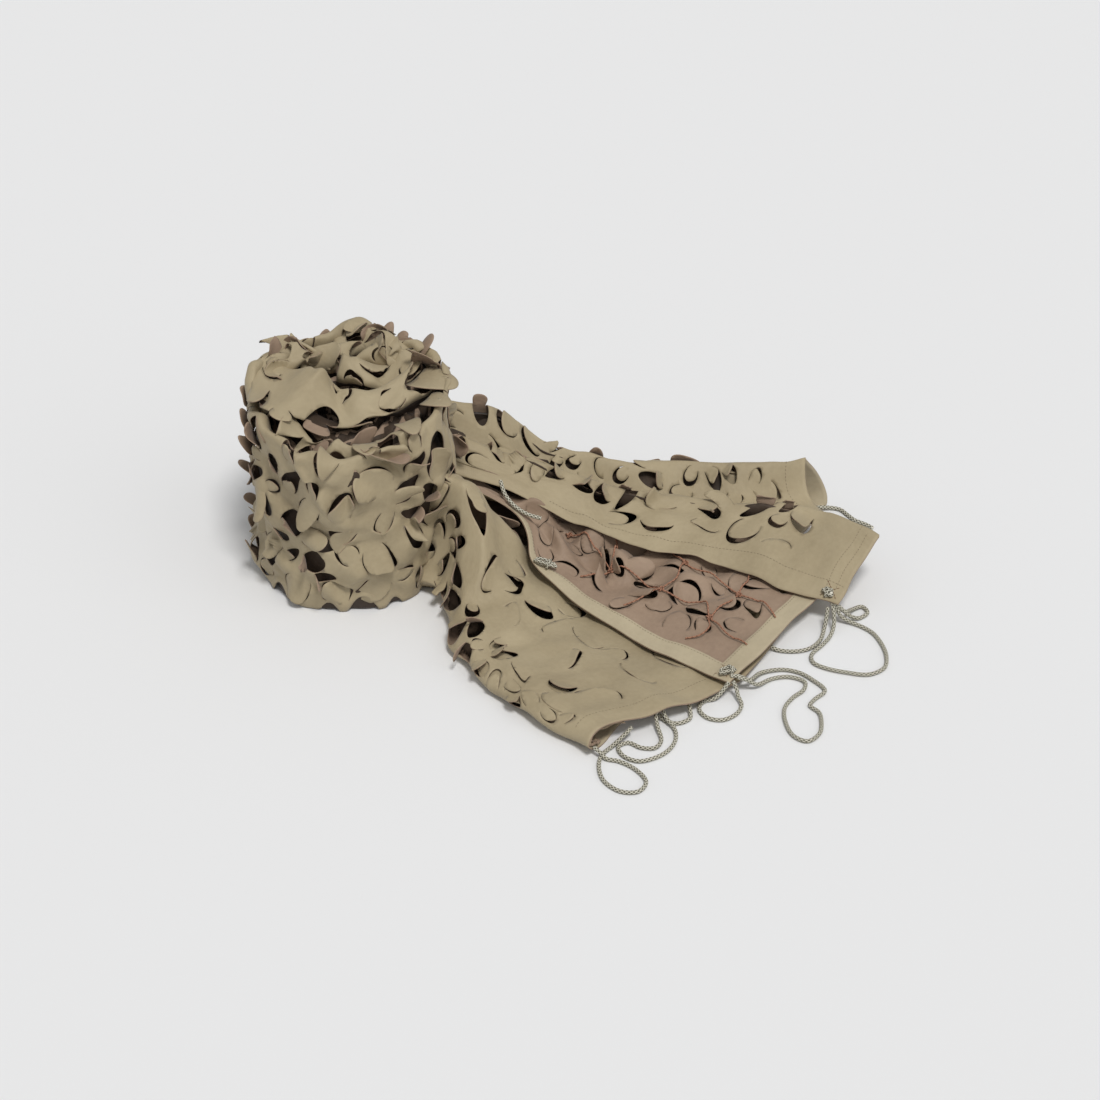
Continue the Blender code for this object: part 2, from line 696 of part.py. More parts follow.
def make_strings(sheet, material, collection):
    """The carrier strings and their knots over the cloth's back, as one piece."""
    back = surface_tree(sheet, 0, sheet.hairpin_u[0])
    height = 0.03

    def lifted(x, y):
        nonlocal height
        height = height_on(back, x, y, height)
        return Vector((x, y, height + STRING_LIFT))

    pieces = []
    for i, route in enumerate(STRINGS):
        stops = [STRING_KNOTS[s] if isinstance(s, str) else s for s in route]
        flat_route = smooth_route([(x, y, 0) for x, y in stops], STRING_STEP)
        line = [lifted(x, y) for x, y, _ in flat_route]
        string = tube(f"string_{i}", line, STRING_DIAMETER, None, collection)
        pieces.append(curve_to_mesh(string, collection))
    for name, (x, y) in STRING_KNOTS.items():
        mesh = bpy.data.meshes.new(f"knot_{name}")
        ball = bmesh.new()
        bmesh.ops.create_icosphere(ball, subdivisions=1, radius=STRING_KNOT_RADIUS)
        ball.to_mesh(mesh)
        ball.free()
        mesh.transform(Matrix.Translation(lifted(x * MM, y * MM)))
        knot = bpy.data.objects.new(f"knot_{name}", mesh)
        collection.objects.link(knot)
        pieces.append(knot)
    net = pieces[0]
    join_solids(net, pieces[1:])
    net.name = "carrier_net"
    net.data.name = "carrier_net"
    net.data.materials.clear()
    net.data.materials.append(material)


def make_wrap(name, tree, middle, length, heading, material, collection):
    """A few tight turns of cord on the hem, as one ridged barrel."""
    heading = math.radians(heading)
    level = Vector((math.cos(heading), math.sin(heading), 0))
    middle = Vector((*middle, 0)) * MM
    lift = WRAP_RADIUS * WRAP_FLAT + CLOTH_THICKNESS / 2 + WRAP_CLEAR
    under = height_on(tree, middle.x, middle.y, 0)
    before, after = (
        height_on(tree, place.x, place.y, under)
        for place in (middle - level * length / 2, middle + level * length / 2)
    )
    middle.z = max(under, (before + after) / 2) + lift
    axis = (level * length + Vector((0, 0, after - before))).normalized()
    side = axis.cross(Vector((0, 0, 1))).normalized()
    up = side.cross(axis)
    rings = 4 * WRAP_TURNS
    verts = []
    for i in range(rings + 1):
        ridge = WRAP_RIDGE * abs(math.sin(math.pi * WRAP_TURNS * i / rings))
        radius = WRAP_RADIUS - WRAP_RIDGE + ridge
        ring = middle + axis * (i / rings - 0.5) * length
        for k in range(WRAP_SIDES):
            angle = 2 * math.pi * k / WRAP_SIDES
            verts.append(ring + side * radius * WRAP_BROAD * math.cos(angle)
                         + up * radius * WRAP_FLAT * math.sin(angle))
    faces = []
    for i in range(rings):
        for k in range(WRAP_SIDES):
            a, b = i * WRAP_SIDES + k, i * WRAP_SIDES + (k + 1) % WRAP_SIDES
            faces.append((a, b, b + WRAP_SIDES, a + WRAP_SIDES))
    faces.append(tuple(range(WRAP_SIDES - 1, -1, -1)))
    faces.append(tuple(rings * WRAP_SIDES + k for k in range(WRAP_SIDES)))
    obj = add_mesh(name, verts, faces, material, collection)
    face_out(obj.data)
    return obj


def main():
    clear_scene()
    collection = new_collection("camouflage_net")
    net_material = cloth_material("net_fabric", COLOURS["net"], 0.85)
    string_material = cloth_material("carrier_string", COLOURS["string"], 0.8)
    cord_material = cloth_material("cord", COLOURS["cord"], 0.75)
    sheet = FoldedSheet()
    gaps = make_net(sheet, net_material, collection)
    make_strings(sheet, string_material, collection)
    for name, route in CORDS.items():
        line = smooth_route(route, POINT_SPACING)
        tube(name, line, CORD_DIAMETER, cord_material, collection)
    layers = {
        "back layer": surface_tree(sheet, 0, sheet.hairpin_u[0]),
        "upper flap": surface_tree(sheet, sheet.u_at[-2], sheet.width),
    }
    for name, (layer, middle, length, heading) in WRAPS.items():
        make_wrap(name, layers[layer], middle, length * MM, heading, cord_material, collection)
    print("gaps cut:", gaps, "flat width:", round(sheet.width, 3))


main()
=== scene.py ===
"""The finished look of the rolled camouflage net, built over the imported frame.

Metres, +Z up. The origin is under the middle of the roll, +X runs to the loose end
and +Y to the back.
"""

import math

import bpy
import numpy as np
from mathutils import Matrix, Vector
from mathutils.bvhtree import BVHTree
from mathutils.geometry import delaunay_2d_cdt
from mathutils.kdtree import KDTree


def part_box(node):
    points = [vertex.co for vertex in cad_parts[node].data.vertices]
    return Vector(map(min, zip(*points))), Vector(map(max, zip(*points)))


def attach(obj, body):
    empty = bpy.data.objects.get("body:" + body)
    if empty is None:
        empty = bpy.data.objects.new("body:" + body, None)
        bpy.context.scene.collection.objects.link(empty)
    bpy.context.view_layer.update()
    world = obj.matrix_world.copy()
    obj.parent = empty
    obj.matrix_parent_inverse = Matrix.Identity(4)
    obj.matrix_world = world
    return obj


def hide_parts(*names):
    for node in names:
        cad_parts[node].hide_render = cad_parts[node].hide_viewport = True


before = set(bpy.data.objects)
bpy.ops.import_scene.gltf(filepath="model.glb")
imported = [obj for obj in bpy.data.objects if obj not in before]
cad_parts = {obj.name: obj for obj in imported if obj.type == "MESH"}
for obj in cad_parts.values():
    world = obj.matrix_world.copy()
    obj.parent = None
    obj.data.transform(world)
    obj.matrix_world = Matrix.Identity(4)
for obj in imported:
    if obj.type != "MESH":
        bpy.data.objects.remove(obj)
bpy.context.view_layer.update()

MM = 0.001
CLOTH_THICKNESS = 0.0009
FLOOR_GAP = 0.0003
LEAST_HEIGHT = 0.0002  # of the cloth's two faces
CLOTH_REST = CLOTH_THICKNESS / 2 + FLOOR_GAP
HEM_WIDTH = 0.030
HEM_STEP = 0.0008
SIDE_MARGIN = 0.034  # from the hems' edges to the nearest leaf

# Grid spacings of the cloth.
SHEET_SPACING = 0.0050
WALL_SPACING = 0.0043
TURN_SPACING = 0.0039
HIDDEN_SPACING = 0.014
HEM_SPACING = 0.0015
FOLD_SPACING = 0.0035
BEND_SPACING = 0.0036

FRAY_END = 0.415  # beyond this the loose end's leaves lie closed, in metres along it
TUCKED = 0.18  # up to this the wedge's leaves lie under the folds
OPEN_TO = np.array([0.0, -0.819, 0.574])  # lifted leaves mostly point this way
LEAF_STEP = 0.0032  # between points on a leaf's arc
HINGE_STEP = 0.006
LEAVES_APART = 0.0030

ROLL_RADIUS = 0.126
ROLL_FRONT_HEIGHT = 0.238
ROLL_BACK_HEIGHT = 0.276
WALL_SWELL = 0.005
WALL_START = math.radians(-8)
WALL_HEIGHT = 0.235  # of the outermost turn's cloth, up to the bend over the rim
WALL_MARGIN = 0.01
RIM_BEND = 0.006
RIM_START = WALL_HEIGHT + math.pi * RIM_BEND  # where the cloth hangs down inside
FLAP_WALL = 0.245  # the wall's height in the table of flaps

CORD_DIAMETER = 0.0052
CORD_PICK = 0.0054  # the length of one turn of the braid
WRAP_PICK = 0.0036
STRING_DIAMETER = 0.0022
STRING_PITCH = 0.006
STITCH_PITCH = 0.0046
STITCH_HALF = np.array([0.0017, 0.00042, 0.00035])  # half length, half width and height

# Colours, from the darkest to the lightest.
FABRICS = {
    "net_khaki": ((0.32, 0.258, 0.16), (0.375, 0.307, 0.194), (0.42, 0.348, 0.224)),
    "net_back": ((0.255, 0.178, 0.125), (0.315, 0.224, 0.158), (0.36, 0.26, 0.185)),
    "net_hem": ((0.40, 0.335, 0.225), (0.455, 0.385, 0.262), (0.50, 0.425, 0.29)),
    # The last is not a colour of the cloth: near black, painted shade for the layers that lie
    # deep in the folds and turns.
    "net_inner_painted_shade": ((0.029, 0.018, 0.011), (0.050, 0.032, 0.020), (0.085, 0.057, 0.037)),
}
# The darkest of the cord and string colours is painted shade in the grooves between strands,
# the lightest a painted highlight on their crowns.
CORD_COLOURS = ((0.075, 0.068, 0.045), (0.33, 0.31, 0.23), (0.70, 0.67, 0.57))
STRING_COLOURS = ((0.21, 0.095, 0.055), (0.33, 0.155, 0.092), (0.40, 0.20, 0.125))
SEWING_COLOURS = ((0.15, 0.115, 0.07), (0.30, 0.24, 0.16))
RUST_COLOURS = ((0.14, 0.065, 0.035), (0.26, 0.13, 0.075))

CAMERA_LENS, CAMERA_SENSOR = 120, 36  # mm
CAMERA_ELEVATION = math.radians(35)
CAMERA_TARGET = (0.2535, 0.016, 0)
CAMERA_DISTANCE = 4.7667

# The loose end's stations, in metres along the cloth, and its fold lines: x, y and z in
# mm at each station. They are the part's own but for four higher points at the roll.
STATION_AT = (0.0, 0.075, 0.155, 0.235, 0.335, 0.425, 0.505)
FOLD_LINES = (
    # name, in the roll, at the roll, shoulder, slope, middle, spread, end hem
    ("front_edge", (100, 8, 134), (206, -30, 92), (232, -82, 48), (277, -132, 31),
     (350, -204, 22), (413, -255, 21), (473, -300, 21)),
    ("hidden_fold", (98, 25, 104), (232, 36, 64), (318, 26, 36), (396, 14, 25),
     (488, 0, 21), (570, -26, 21), (640, -58, 22)),
    ("under_edge", (92, 2, 76), (194, -20, 48), (252, -50, 24), (300, -98, 13),
     (375, -164, 10), (438, -220, 10), (494, -274, 10)),
    ("front_swell", (72, -46, 128), (148, -58, 154), (172, -120, 66), (206, -186, 34),
     (262, -250, 26), (325, -306, 26), (386, -362, 27)),
    ("front_fold", (58, -80, 22), (113, -98, 22), (123, -162, 20), (140, -232, 17),
     (188, -306, 15), (240, -366, 16), (300, -420, 18)),
    ("back_foot", (70, 84, 3), (186, 116, 3), (268, 121, 3), (350, 125, 3),
     (445, 128, 3), (535, 126, 3), (619, 120, 3)),
    ("back_ridge", (78, 80, 204), (185, 107, 154), (258, 103, 107), (332, 98, 89),
     (422, 110, 77), (510, 110, 72), (588, 106, 84)),
    ("valley", (84, 58, 172), (190, 72, 122), (262, 70, 76), (338, 66, 52),
     (430, 68, 42), (515, 74, 40), (594, 72, 46)),
    ("crest", (92, 40, 164), (214, 44, 126), (335, 40, 84), (436, 34, 68),
     (526, 26, 64), (607, 8, 67), (671, -59, 75)),
    ("upper_edge", (92, 12, 142), (240, 0, 84), (313, -28, 56), (382, -48, 46),
     (462, -67, 40), (545, -115, 36), (613, -154, 33)),
)
# Fold lines where the cloth turns back on itself, and how wide each turn is.
HAIRPINS = {"hidden_fold": 0.010, "front_fold": 0.030, "crest": 0.024}

# The cord routes, along the part's own and run on into the hem, out of sight: x, y and
# z of the cord's middle in mm. Where z is left out, the cord lies on the floor.
FLOOR_Z = 3
CORDS = {
    "cord_upper_big": (
        (608, -146, 32), (615, -146, 22), (622, -146, 10), (640, -152), (658, -168),
        (668, -190), (673, -219), (668, -244), (648, -257), (622, -253), (596, -244),
        (581, -232), (580, -216), (594, -196), (604, -180), (610, -166, 8),
        (611, -158, 20), (609, -151, 31),
    ),
    "cord_upper_small": (
        (612, -146, 31), (619, -143, 22), (626, -140, 14), (636, -124, 6), (650, -114),
        (656, -126), (646, -138), (634, -142, 8), (622, -143, 20), (613, -144, 30),
    ),
    "cord_upper_back": (
        (603, -152, 30), (601, -160, 18), (598, -168, 6), (592, -186), (578, -203),
        (560, -209), (540, -207), (524, -200, 8), (508, -190, 15),
    ),
    "cord_lower_big": (
        (476, -290, 26), (487, -285, 21), (499, -280, 12), (515, -256, 5), (541, -247),
        (562, -253), (578, -268), (592, -290), (578, -308), (572, -320), (582, -334),
        (584, -352), (580, -376), (565, -391), (549, -381), (540, -352), (541, -324),
        (552, -304), (566, -288), (568, -272), (550, -262), (528, -266), (508, -284, 8),
        (497, -288, 17), (485, -291, 24),
    ),
    "cord_lower_small": (
        (478, -296, 22), (482, -300, 15), (484, -306, 8), (488, -320, 4), (481, -337),
        (464, -349), (446, -345), (436, -328), (442, -312), (456, -308, 5),
        (466, -302, 13), (473, -298, 22),
    ),
    "cord_middle": (
        (422, -318, 10), (424, -330, 8), (424, -346), (408, -356), (394, -350),
        (384, -340, 8), (380, -332, 9),
    ),
    "cord_front_eight": (
        (390, -342, 18), (394, -352, 10), (404, -366, 4), (406, -384), (398, -406),
        (382, -422), (360, -430), (342, -420), (336, -402), (348, -394), (364, -404),
        (380, -404), (388, -390), (384, -368, 8), (382, -356, 16), (384, -346, 18),
    ),
    "cord_front_loop": (
        (352, -378, 14), (346, -386, 12), (330, -400, 4), (316, -418), (312, -440),
        (318, -468), (338, -488), (358, -488), (368, -470), (356, -446), (336, -430),
        (322, -426), (314, -420, 8), (306, -414, 12),
    ),
    "cord_back": (
        (560, 96, 6), (578, 99, 7), (594, 100, 8), (608, 104, 7), (622, 108, 4),
        (636, 105), (645, 93), (654, 80), (668, 70), (676, 62),
    ),
    "cord_apex": (
        (190, 2, 118), (196, -14, 108), (208, -24, 97), (224, -28, 87), (242, -28, 80),
    ),
}

# Knots of the carrier strings on the cloth's back, x and y in mm, and the strings.
STRING_KNOTS = {
    "a": (278, -11), "b": (331, -80), "c": (393, -117), "d": (426, -66),
    "e": (453, -173), "f": (492, -126),
}
STRINGS = (
    ("a", (304, -30), "b"),
    ("b", (340, -30), (322, 2)),
    ("b", (310, -94), (292, -96)),
    ("b", (365, -92), "c"),
    ("c", (418, -88), "d"),
    ("d", (396, -20), (378, 0)),
    ("d", (466, -92), "f"),
    ("c", (426, -134), (446, -140), "e"),
    ("c", (368, -140), (346, -146)),
    ("e", (476, -148), "f"),
    ("f", (508, -86), (512, -72)),
    ("f", (524, -150), (536, -174)),
    ("e", (448, -206), (422, -214)),
    ("e", (478, -206), (498, -228)),
)

# Leaf flaps that stand off the roll's wall, two in three of them as in the part: angle
# round the roll in degrees, height, length and width in mm, lean and turn in degrees.
WALL_FLAPS = (
    (176, 196, 36, 26, 20, 10), (190, 178, 38, 26, 18, -30), (204, 214, 36, 28, 20, 40),
    (214, 150, 44, 26, 30, 160), (222, 86, 42, 30, 34, 200), (240, 49, 40, 40, 16, 185),
    (244, 118, 40, 28, 26, 120), (252, 180, 46, 34, 18, 200), (259, 51, 40, 42, 18, 170),
    (272, 142, 42, 30, 22, 230), (284, 100, 46, 34, 18, 150), (277, 50, 40, 44, 20, 192),
    (298, 172, 42, 30, 24, 60), (308, 128, 40, 30, 22, 210), (160, 120, 44, 30, 34, 170),
    (146, 176, 42, 28, 36, 30), (132, 84, 44, 32, 30, 190), (118, 150, 42, 30, 34, 140),
    (104, 208, 44, 28, 38, 0), (92, 110, 42, 30, 30, 200), (78, 176, 44, 30, 34, 40),
    (70, 68, 42, 32, 26, 180), (184, 60, 38, 30, 10, 200), (198, 112, 40, 28, 14, 150),
)

# Leaf flaps on the roll's top, placed by the photo and not where the part has its own:
# x, y, length and width in mm, lean from level and heading in degrees.
TOP_FLAPS = (
    (44, 104, 22, 19, 60, 85), (62, 100, 17, 15, 55, 60), (88, 74, 34, 20, 64, 20),
    (84, 30, 52, 50, 14, 330), (72, -52, 42, 34, 24, 300), (24, -92, 36, 30, 20, 280),
    (98, -10, 40, 34, 22, 330),
)


# ---- scene and materials


def placed(name, data):
    """A new object in the scene for a camera, light or mesh."""
    obj = bpy.data.objects.new(name, data)
    bpy.context.scene.collection.objects.link(obj)
    return obj


def make_camera():
    camera = bpy.data.cameras.new("photo_camera")
    camera.lens, camera.sensor_width = CAMERA_LENS, CAMERA_SENSOR
    obj = placed("photo_camera", camera)
    away = Vector((0, -math.cos(CAMERA_ELEVATION), math.sin(CAMERA_ELEVATION)))
    obj.location = Vector(CAMERA_TARGET) + away * CAMERA_DISTANCE
    obj.rotation_euler = (-away).to_track_quat("-Z", "Y").to_euler()
    bpy.context.scene.camera = obj


def sun_light(name, from_place, power, spread, colour):
    """A broad, soft and even light from one direction."""
    light = bpy.data.lights.new(name, "SUN")
    light.energy, light.angle, light.color = power, math.radians(spread), colour
    toward = Vector(from_place).to_track_quat("Z", "Y")
    placed(name, light).rotation_euler = toward.to_euler()


def make_studio():
    world = bpy.data.worlds.new("studio")
    bpy.context.scene.world = world
    world.use_nodes = True
    back = world.node_tree.nodes["Background"]
    back.inputs["Color"].default_value = (0.97, 0.985, 1.0, 1)
    back.inputs["Strength"].default_value = 0.42
    sun_light("key", (0.34, -0.95, 2.1), 1.87, 14, (1.0, 0.99, 0.97))
    sun_light("fill", (1.4, -1.0, 1.3), 0.30, 50, (0.98, 0.99, 1.0))
    bpy.ops.mesh.primitive_plane_add(size=30, location=(0, 0, 0))
    floor = bpy.context.object
    floor.name = "floor"
    floor.data.materials.append(plain_material("floor", (0.80, 0.80, 0.805), 0.9))
    bpy.context.scene.view_settings.view_transform = "Standard"


def plain_material(name, colour, roughness):
    """A new material with one colour and roughness, to build on."""
    material = bpy.data.materials.new(name)
    material.use_nodes = True
    shader = material.node_tree.nodes["Principled BSDF"]
    shader.inputs["Base Color"].default_value = (*colour, 1)
    shader.inputs["Roughness"].default_value = roughness
    return material


class Nodes:
    """Short calls that add and join a material's nodes."""

    def __init__(self, material):
        self.tree = material.node_tree
        self.shader = self.tree.nodes["Principled BSDF"]

    def add(self, kind, **inputs):
        node = self.tree.nodes.new(kind)
        for key, value in inputs.items():
            target = node.inputs[int(key[1:])] if key[0] == "i" else node.inputs[key]
            if isinstance(value, bpy.types.NodeSocket):
                self.tree.links.new(value, target)
            else:
                target.default_value = value
        return node

    def math(self, operation, first, second=0.0):
        node = self.add("ShaderNodeMath", i0=first, i1=second)
        node.operation = operation
        return node.outputs[0]

    def noise(self, where, scale, detail=3.0, rough=0.55):
        node = self.add("ShaderNodeTexNoise", Vector=where, Scale=scale,
                        Detail=detail, Roughness=rough)
        return node.outputs["Fac"]

    def ramp(self, value, stops):
        stops = list(stops)
        node = self.add("ShaderNodeValToRGB", Fac=value)
        while len(node.color_ramp.elements) < len(stops):
            node.color_ramp.elements.new(0.5)
        for element, (at, colour) in zip(node.color_ramp.elements, stops):
            element.position, element.color = at, (*colour, 1)
        return node.outputs["Color"]

    def bump(self, height, strength, distance, before=None):
        node = self.add("ShaderNodeBump", Height=height, Strength=strength, Distance=distance)
        if before is not None:
            self.tree.links.new(before, node.inputs["Normal"])
        return node.outputs["Normal"]

    def join(self, value, name):
        self.tree.links.new(value, self.shader.inputs[name])


def fabric(name, low, middle, high, roughness=(0.5, 0.72)):
    """Coated woven cloth: a fine plain weave, faint mottling and soft creases."""
    material = plain_material(name, middle, 0.6)
    n = Nodes(material)
    uv = n.add("ShaderNodeTexCoord").outputs["UV"]
    wide = n.noise(uv, 9.0, 4.0)
    fine = n.noise(uv, 160.0, 2.0)
    tone = n.math("ADD", n.math("MULTIPLY", wide, 0.75), n.math("MULTIPLY", fine, 0.25))
    n.join(n.ramp(tone, ((0.34, low), (0.52, middle), (0.70, high))), "Base Color")
    lines = []
    for direction in ("X", "Y"):
        wave = n.add("ShaderNodeTexWave", Vector=uv, Scale=260.0, Distortion=0.6)
        wave.bands_direction = direction
        lines.append(wave.outputs["Fac"])
    weave = n.math("MULTIPLY", lines[0], lines[1])
    creases = n.noise(uv, 34.0, 3.0, 0.6)
    rough = n.add("ShaderNodeMapRange", Value=wide)
    rough.inputs["To Min"].default_value = roughness[0]
    rough.inputs["To Max"].default_value = roughness[1]
    n.join(rough.outputs[0], "Roughness")
    folds = n.add("ShaderNodeTexNoise", Vector=uv, Scale=15.0, Detail=3.0, Roughness=0.5)
    folds.noise_type = "RIDGED_MULTIFRACTAL"
    soft = n.bump(creases, 0.6, 0.0020, n.bump(folds.outputs["Fac"], 0.5, 0.0022))
    n.join(n.bump(weave, 0.35, 0.0002, soft), "Normal")
    n.shader.inputs["Sheen Weight"].default_value = 0.08
    n.shader.inputs["Specular IOR Level"].default_value = 0.3
    return material


def strand_material(name, colours, count, turn_length):
    """Braided or twisted strands from a tube's own u round it and v along it, lighter on the
    strands' crowns and darker between them: a painted highlight and painted shade.
    """
    material = plain_material(name, colours[1], 0.75)
    n = Nodes(material)
    uv = n.add("ShaderNodeTexCoord").outputs["UV"]
    split = n.add("ShaderNodeSeparateXYZ", i0=uv)
    around = n.math("MULTIPLY", split.outputs[0], 2 * math.pi * count)
    along = n.math("MULTIPLY", split.outputs[1], 2 * math.pi / turn_length)
    one = n.math("COSINE", n.math("ADD", around, along))
    other = n.math("COSINE", n.math("SUBTRACT", around, along))
    high = n.math("MAXIMUM", one, other)
    fibre = n.noise(uv, 900.0, 2.0)
    tone = n.math("ADD", n.math("MULTIPLY", high, 0.36), n.math("MULTIPLY", fibre, 0.5))
    # The crowns get the light colour as a painted highlight and the grooves the dark one as
    # painted shade; the fibre noise is the thread's own grain.
    n.join(n.ramp(tone, zip((0.30, 0.46, 0.60), colours)), "Base Color")
    n.join(n.bump(fibre, 0.4, 0.0004), "Normal")
    return material


def sewing_thread(name, low, high):
    """Dull thread with a fine grain."""
    material = plain_material(name, high, 0.7)
    n = Nodes(material)
    place = n.add("ShaderNodeTexCoord").outputs["Object"]
    n.join(n.ramp(n.noise(place, 400.0), ((0.3, low), (0.7, high))), "Base Color")
    return material


# ---- mesh helpers


def mesh_object(name, verts, faces, uvs, indices, smooth, materials):
    """A mesh from arrays of triangles, with its corner UVs and material indices."""
    mesh = bpy.data.meshes.new(name)
    count = len(faces)
    mesh.vertices.add(len(verts))
    mesh.vertices.foreach_set("co", np.asarray(verts, np.float32).ravel())
    mesh.loops.add(3 * count)
    mesh.loops.foreach_set("vertex_index", np.asarray(faces, np.int32).ravel())
    mesh.polygons.add(count)
    mesh.polygons.foreach_set("loop_start", np.arange(0, 3 * count, 3, dtype=np.int32))
    mesh.polygons.foreach_set("material_index", np.asarray(indices, np.int32))
    mesh.polygons.foreach_set("use_smooth", np.asarray(smooth, bool))
    mesh.update(calc_edges=True)
    layer = mesh.uv_layers.new(name="flat")
    layer.data.foreach_set("uv", np.asarray(uvs, np.float32).ravel())
    for material in materials:
        mesh.materials.append(material)
    return placed(name, mesh)


def dress(piece, node=None):
    """Rides a piece on the body and the solid that it replaces."""
    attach(piece, "root")
    if node is not None:
        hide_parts(node)


def columns(*values):
    """Arrays set side by side, as a table's columns."""
    return np.stack(values, axis=1)


def unit(vectors):
    """Rows of vectors, each at length one."""
    return vectors / np.linalg.norm(vectors, axis=1)[:, None]


def run_along(points):
    """The distance along a line at each of its points."""
    return np.concatenate([[0], np.cumsum(np.linalg.norm(np.diff(points, axis=0), axis=1))])


def keep_above(places, height):
    """Lifts the places that lie lower than a height up to it."""
    places[:, 2] = np.maximum(places[:, 2], height)


def split_quads(a, b, c, d):
    """Two triangles for each row of four corners, which are in order round it."""
    return np.concatenate([columns(a, b, c), columns(a, c, d)])


def catmull(p0, p1, p2, p3, k0, k1, k2, k3, at):
    """The curve through p1 and p2 at the knot value at, for arrays of points."""
    def mix(a, b, ka, kb):
        share = ((at - ka) / (kb - ka))[:, None]
        return a * (1 - share) + b * share

    a = mix(p0, p1, k0, k1)
    b = mix(p1, p2, k1, k2)
    c = mix(p2, p3, k2, k3)
    d = mix(a, b, k0, k2)
    e = mix(b, c, k1, k3)
    return mix(d, e, k1, k2)


def soft_knots(points):
    """Knot values that keep a smooth curve from overshooting where points lie close."""
    steps = np.linalg.norm(np.diff(points, axis=0), axis=1)
    return np.concatenate([[0], np.cumsum(np.sqrt(steps))])


def along_knots(points, knots, at):
    """Points (count, knots, 3) read at one knot value each, by a smooth curve."""
    first = 2 * points[:, :1] - points[:, 1:2]
    last = 2 * points[:, -1:] - points[:, -2:-1]
    points = np.concatenate([first, points, last], axis=1)
    knots = np.concatenate([[2 * knots[0] - knots[1]], knots, [2 * knots[-1] - knots[-2]]])
    i = np.clip(np.searchsorted(knots, at, side="right") - 1, 1, len(knots) - 3)
    row = np.arange(len(at))
    corners = [points[row, i + k] for k in (-1, 0, 1, 2)]
    return catmull(*corners, *(knots[i + k] for k in (-1, 0, 1, 2)), at)


def smooth_at(line, knots, at):
    """The smooth curve through a line's points, read at each knot value."""
    return along_knots(np.repeat(line[None], len(at), axis=0), knots, at)


class Ripple:
    """Smooth seeded waves over flat cloth, as offsets in three directions."""

    def __init__(self, seed, count, shortest, longest, height):
        rng = np.random.default_rng(seed)
        lengths = rng.uniform(shortest, longest, count)
        angles = rng.uniform(0, 2 * math.pi, count)
        heading = np.stack([np.cos(angles), np.sin(angles)])
        self.waves = heading * (2 * math.pi / lengths)
        self.phase = rng.uniform(0, 2 * math.pi, (3, count))
        self.size = height * lengths / longest / math.sqrt(count / 2)

    def at(self, u, v):
        run = columns(u, v) @ self.waves
        return columns(*((np.sin(run + p) * self.size).sum(axis=1) for p in self.phase))


# ---- cloth surfaces


class Surface:
    """A cloth surface: point(u, v) gives world places of the flat cloth's places."""

    def frames(self, u, v, step=0.003):
        lows, highs = np.clip(u - step, 0, self.width), np.clip(u + step, 0, self.width)
        du = (self.point(highs, v) - self.point(lows, v)) / (highs - lows)[:, None]
        lows, highs = np.clip(v - step, 0, self.length), np.clip(v + step, 0, self.length)
        dv = (self.point(u, highs) - self.point(u, lows)) / (highs - lows)[:, None]
        return du, dv

    def flat_size(self):
        """The cloth's own mean width and length, measured over the surface."""
        u, v = np.meshgrid(np.linspace(0, self.width, 300), np.linspace(0, self.length, 100))
        points = self.point(u.ravel(), v.ravel()).reshape(*u.shape, 3)
        across = np.linalg.norm(np.diff(points, axis=1), axis=2).sum(axis=1).mean()
        along = np.linalg.norm(np.diff(points, axis=0), axis=2).sum(axis=0).mean()
        return round(float(across), 3), round(float(along), 3)

    def metrics(self, u, v):
        """For each place, the matrix from a flat step to a step in world metres."""
        du, dv = self.frames(u, v)
        size = np.linalg.norm(du, axis=1)
        first = du / size[:, None]
        along = (dv * first).sum(axis=1)
        rest = np.linalg.norm(dv - first * along[:, None], axis=1)
        out = np.zeros((len(u), 2, 2))
        out[:, 0, 0], out[:, 0, 1], out[:, 1, 1] = size, along, np.maximum(rest, 0.2)
        return out


